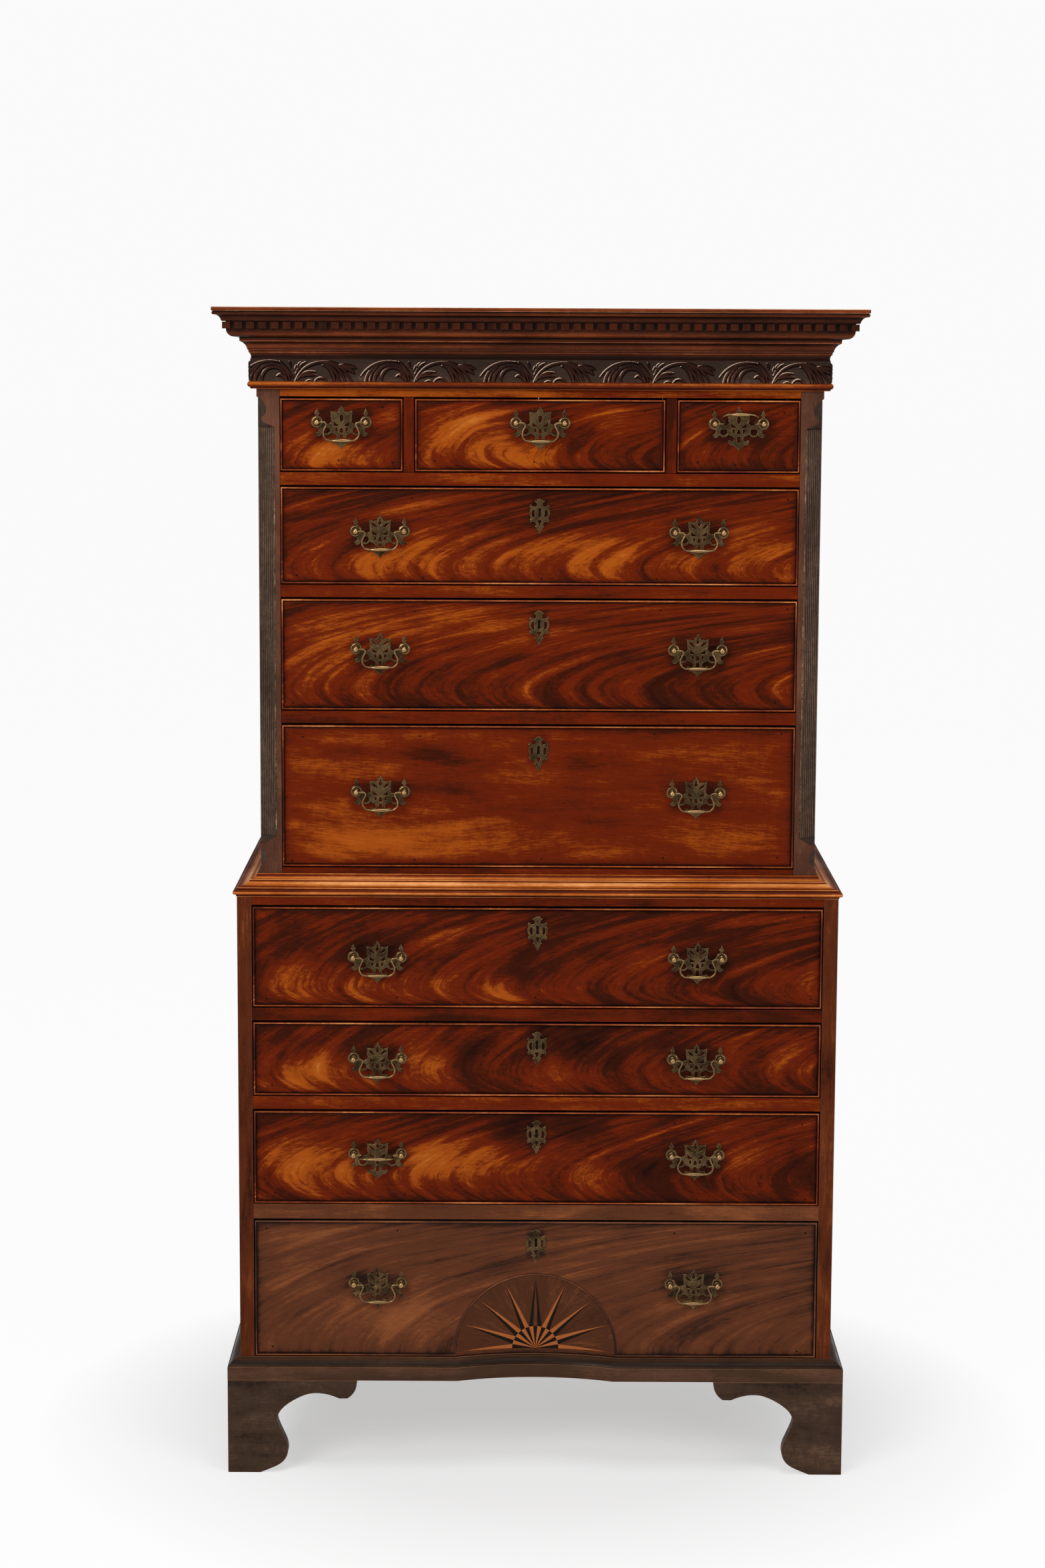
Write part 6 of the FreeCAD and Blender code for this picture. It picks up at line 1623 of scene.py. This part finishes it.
def make_daylight(strength):
    """An even light from all sides, which the camera sees at the brightness of the floor."""
    world = bpy.data.worlds.new("daylight")
    bpy.context.scene.world = world
    world.use_nodes = True
    tree = world.node_tree
    tree.nodes.clear()
    path = add(tree, "ShaderNodeLightPath")
    level = add(tree, "ShaderNodeMapRange", {0: path.outputs["Is Camera Ray"], 3: strength,
                                             4: SKY_SEEN})
    sky = add(tree, "ShaderNodeBackground", {"Color": (1.0, 1.0, 1.0, 1.0),
                                             "Strength": level.outputs[0]})
    tree.links.new(sky.outputs[0], tree.nodes.new("ShaderNodeOutputWorld").inputs["Surface"])


def make_camera(settings):
    """The camera in front of the lower case, turned down and a little about its axis."""
    data = bpy.data.cameras.new("camera")
    data.lens, data.sensor_width, data.clip_end = settings.lens, 36.0, 60.0
    camera = bpy.data.objects.new("camera", data)
    bpy.context.scene.collection.objects.link(camera)
    camera.matrix_world = (
        Matrix.Translation((settings.aside, LOW_FRONT * MM - settings.distance, settings.height))
        @ Matrix.Rotation(math.pi / 2 - settings.pitch, 4, "X")
        @ Matrix.Rotation(settings.roll, 4, "Z"))
    bpy.context.scene.camera = camera


class CHEST_OT_stage(bpy.types.Operator):
    """Make the floor, the lamps, the even light and the camera"""
    bl_idname = "chest.stage"
    bl_label = "Stage"

    def execute(self, context):
        settings = context.scene.chest_stage
        make_floor()
        make_daylight(settings.daylight)
        lamp("key", (-2.6, -4.2, 3.4), 1.0, 2.2, settings.softbox)
        lamp("fill", (3.4, -4.0, 2.2), 0.9, 2.4, settings.softbox * 0.45)
        lamp("top", (0.3, -1.4, 4.4), 1.2, 1.8, settings.softbox * 0.35)
        make_camera(settings)
        context.scene.view_settings.view_transform = "Standard"
        return {"FINISHED"}


class CHEST_PT_panel(bpy.types.Panel):
    """The pieces of the chest, and the settings that they are made from"""
    bl_idname = "CHEST_PT_panel"
    bl_label = "Chest on chest"
    bl_space_type = "VIEW_3D"
    bl_region_type = "UI"
    bl_category = "Chest"

    def draw(self, context):
        for group in ("chest_wood", "chest_brass", "chest_carving", "chest_stage"):
            settings = getattr(context.scene, group)
            for name in settings.__annotations__:
                self.layout.prop(settings, name)
        for operator in OPERATORS:
            self.layout.operator(operator.bl_idname)


OPERATORS = (CHEST_OT_finishes, CHEST_OT_carcass, CHEST_OT_feet, CHEST_OT_mouldings,
             CHEST_OT_frieze, CHEST_OT_drawers, CHEST_OT_brasses, CHEST_OT_stage)
SETTINGS = {"chest_wood": ChestWoodSettings, "chest_brass": ChestBrassSettings,
            "chest_carving": ChestCarvingSettings, "chest_stage": ChestStageSettings}


def register():
    """Register the settings, the operators and the panel."""
    for name, group in SETTINGS.items():
        bpy.utils.register_class(group)
        setattr(bpy.types.Scene, name, PointerProperty(type=group))
    for item in OPERATORS + (CHEST_PT_panel,):
        bpy.utils.register_class(item)


def unregister():
    """Take them away again."""
    for item in (CHEST_PT_panel,) + OPERATORS[::-1]:
        bpy.utils.unregister_class(item)
    for name, group in SETTINGS.items():
        delattr(bpy.types.Scene, name)
        bpy.utils.unregister_class(group)


def main():
    """Make everything in order."""
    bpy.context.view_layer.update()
    register()
    bpy.ops.chest.finishes()
    bpy.ops.chest.carcass()
    bpy.ops.chest.feet()
    bpy.ops.chest.mouldings()
    bpy.ops.chest.frieze()
    bpy.ops.chest.drawers()
    bpy.ops.chest.brasses()
    bpy.ops.chest.stage()


if __name__ == "__main__":
    main()
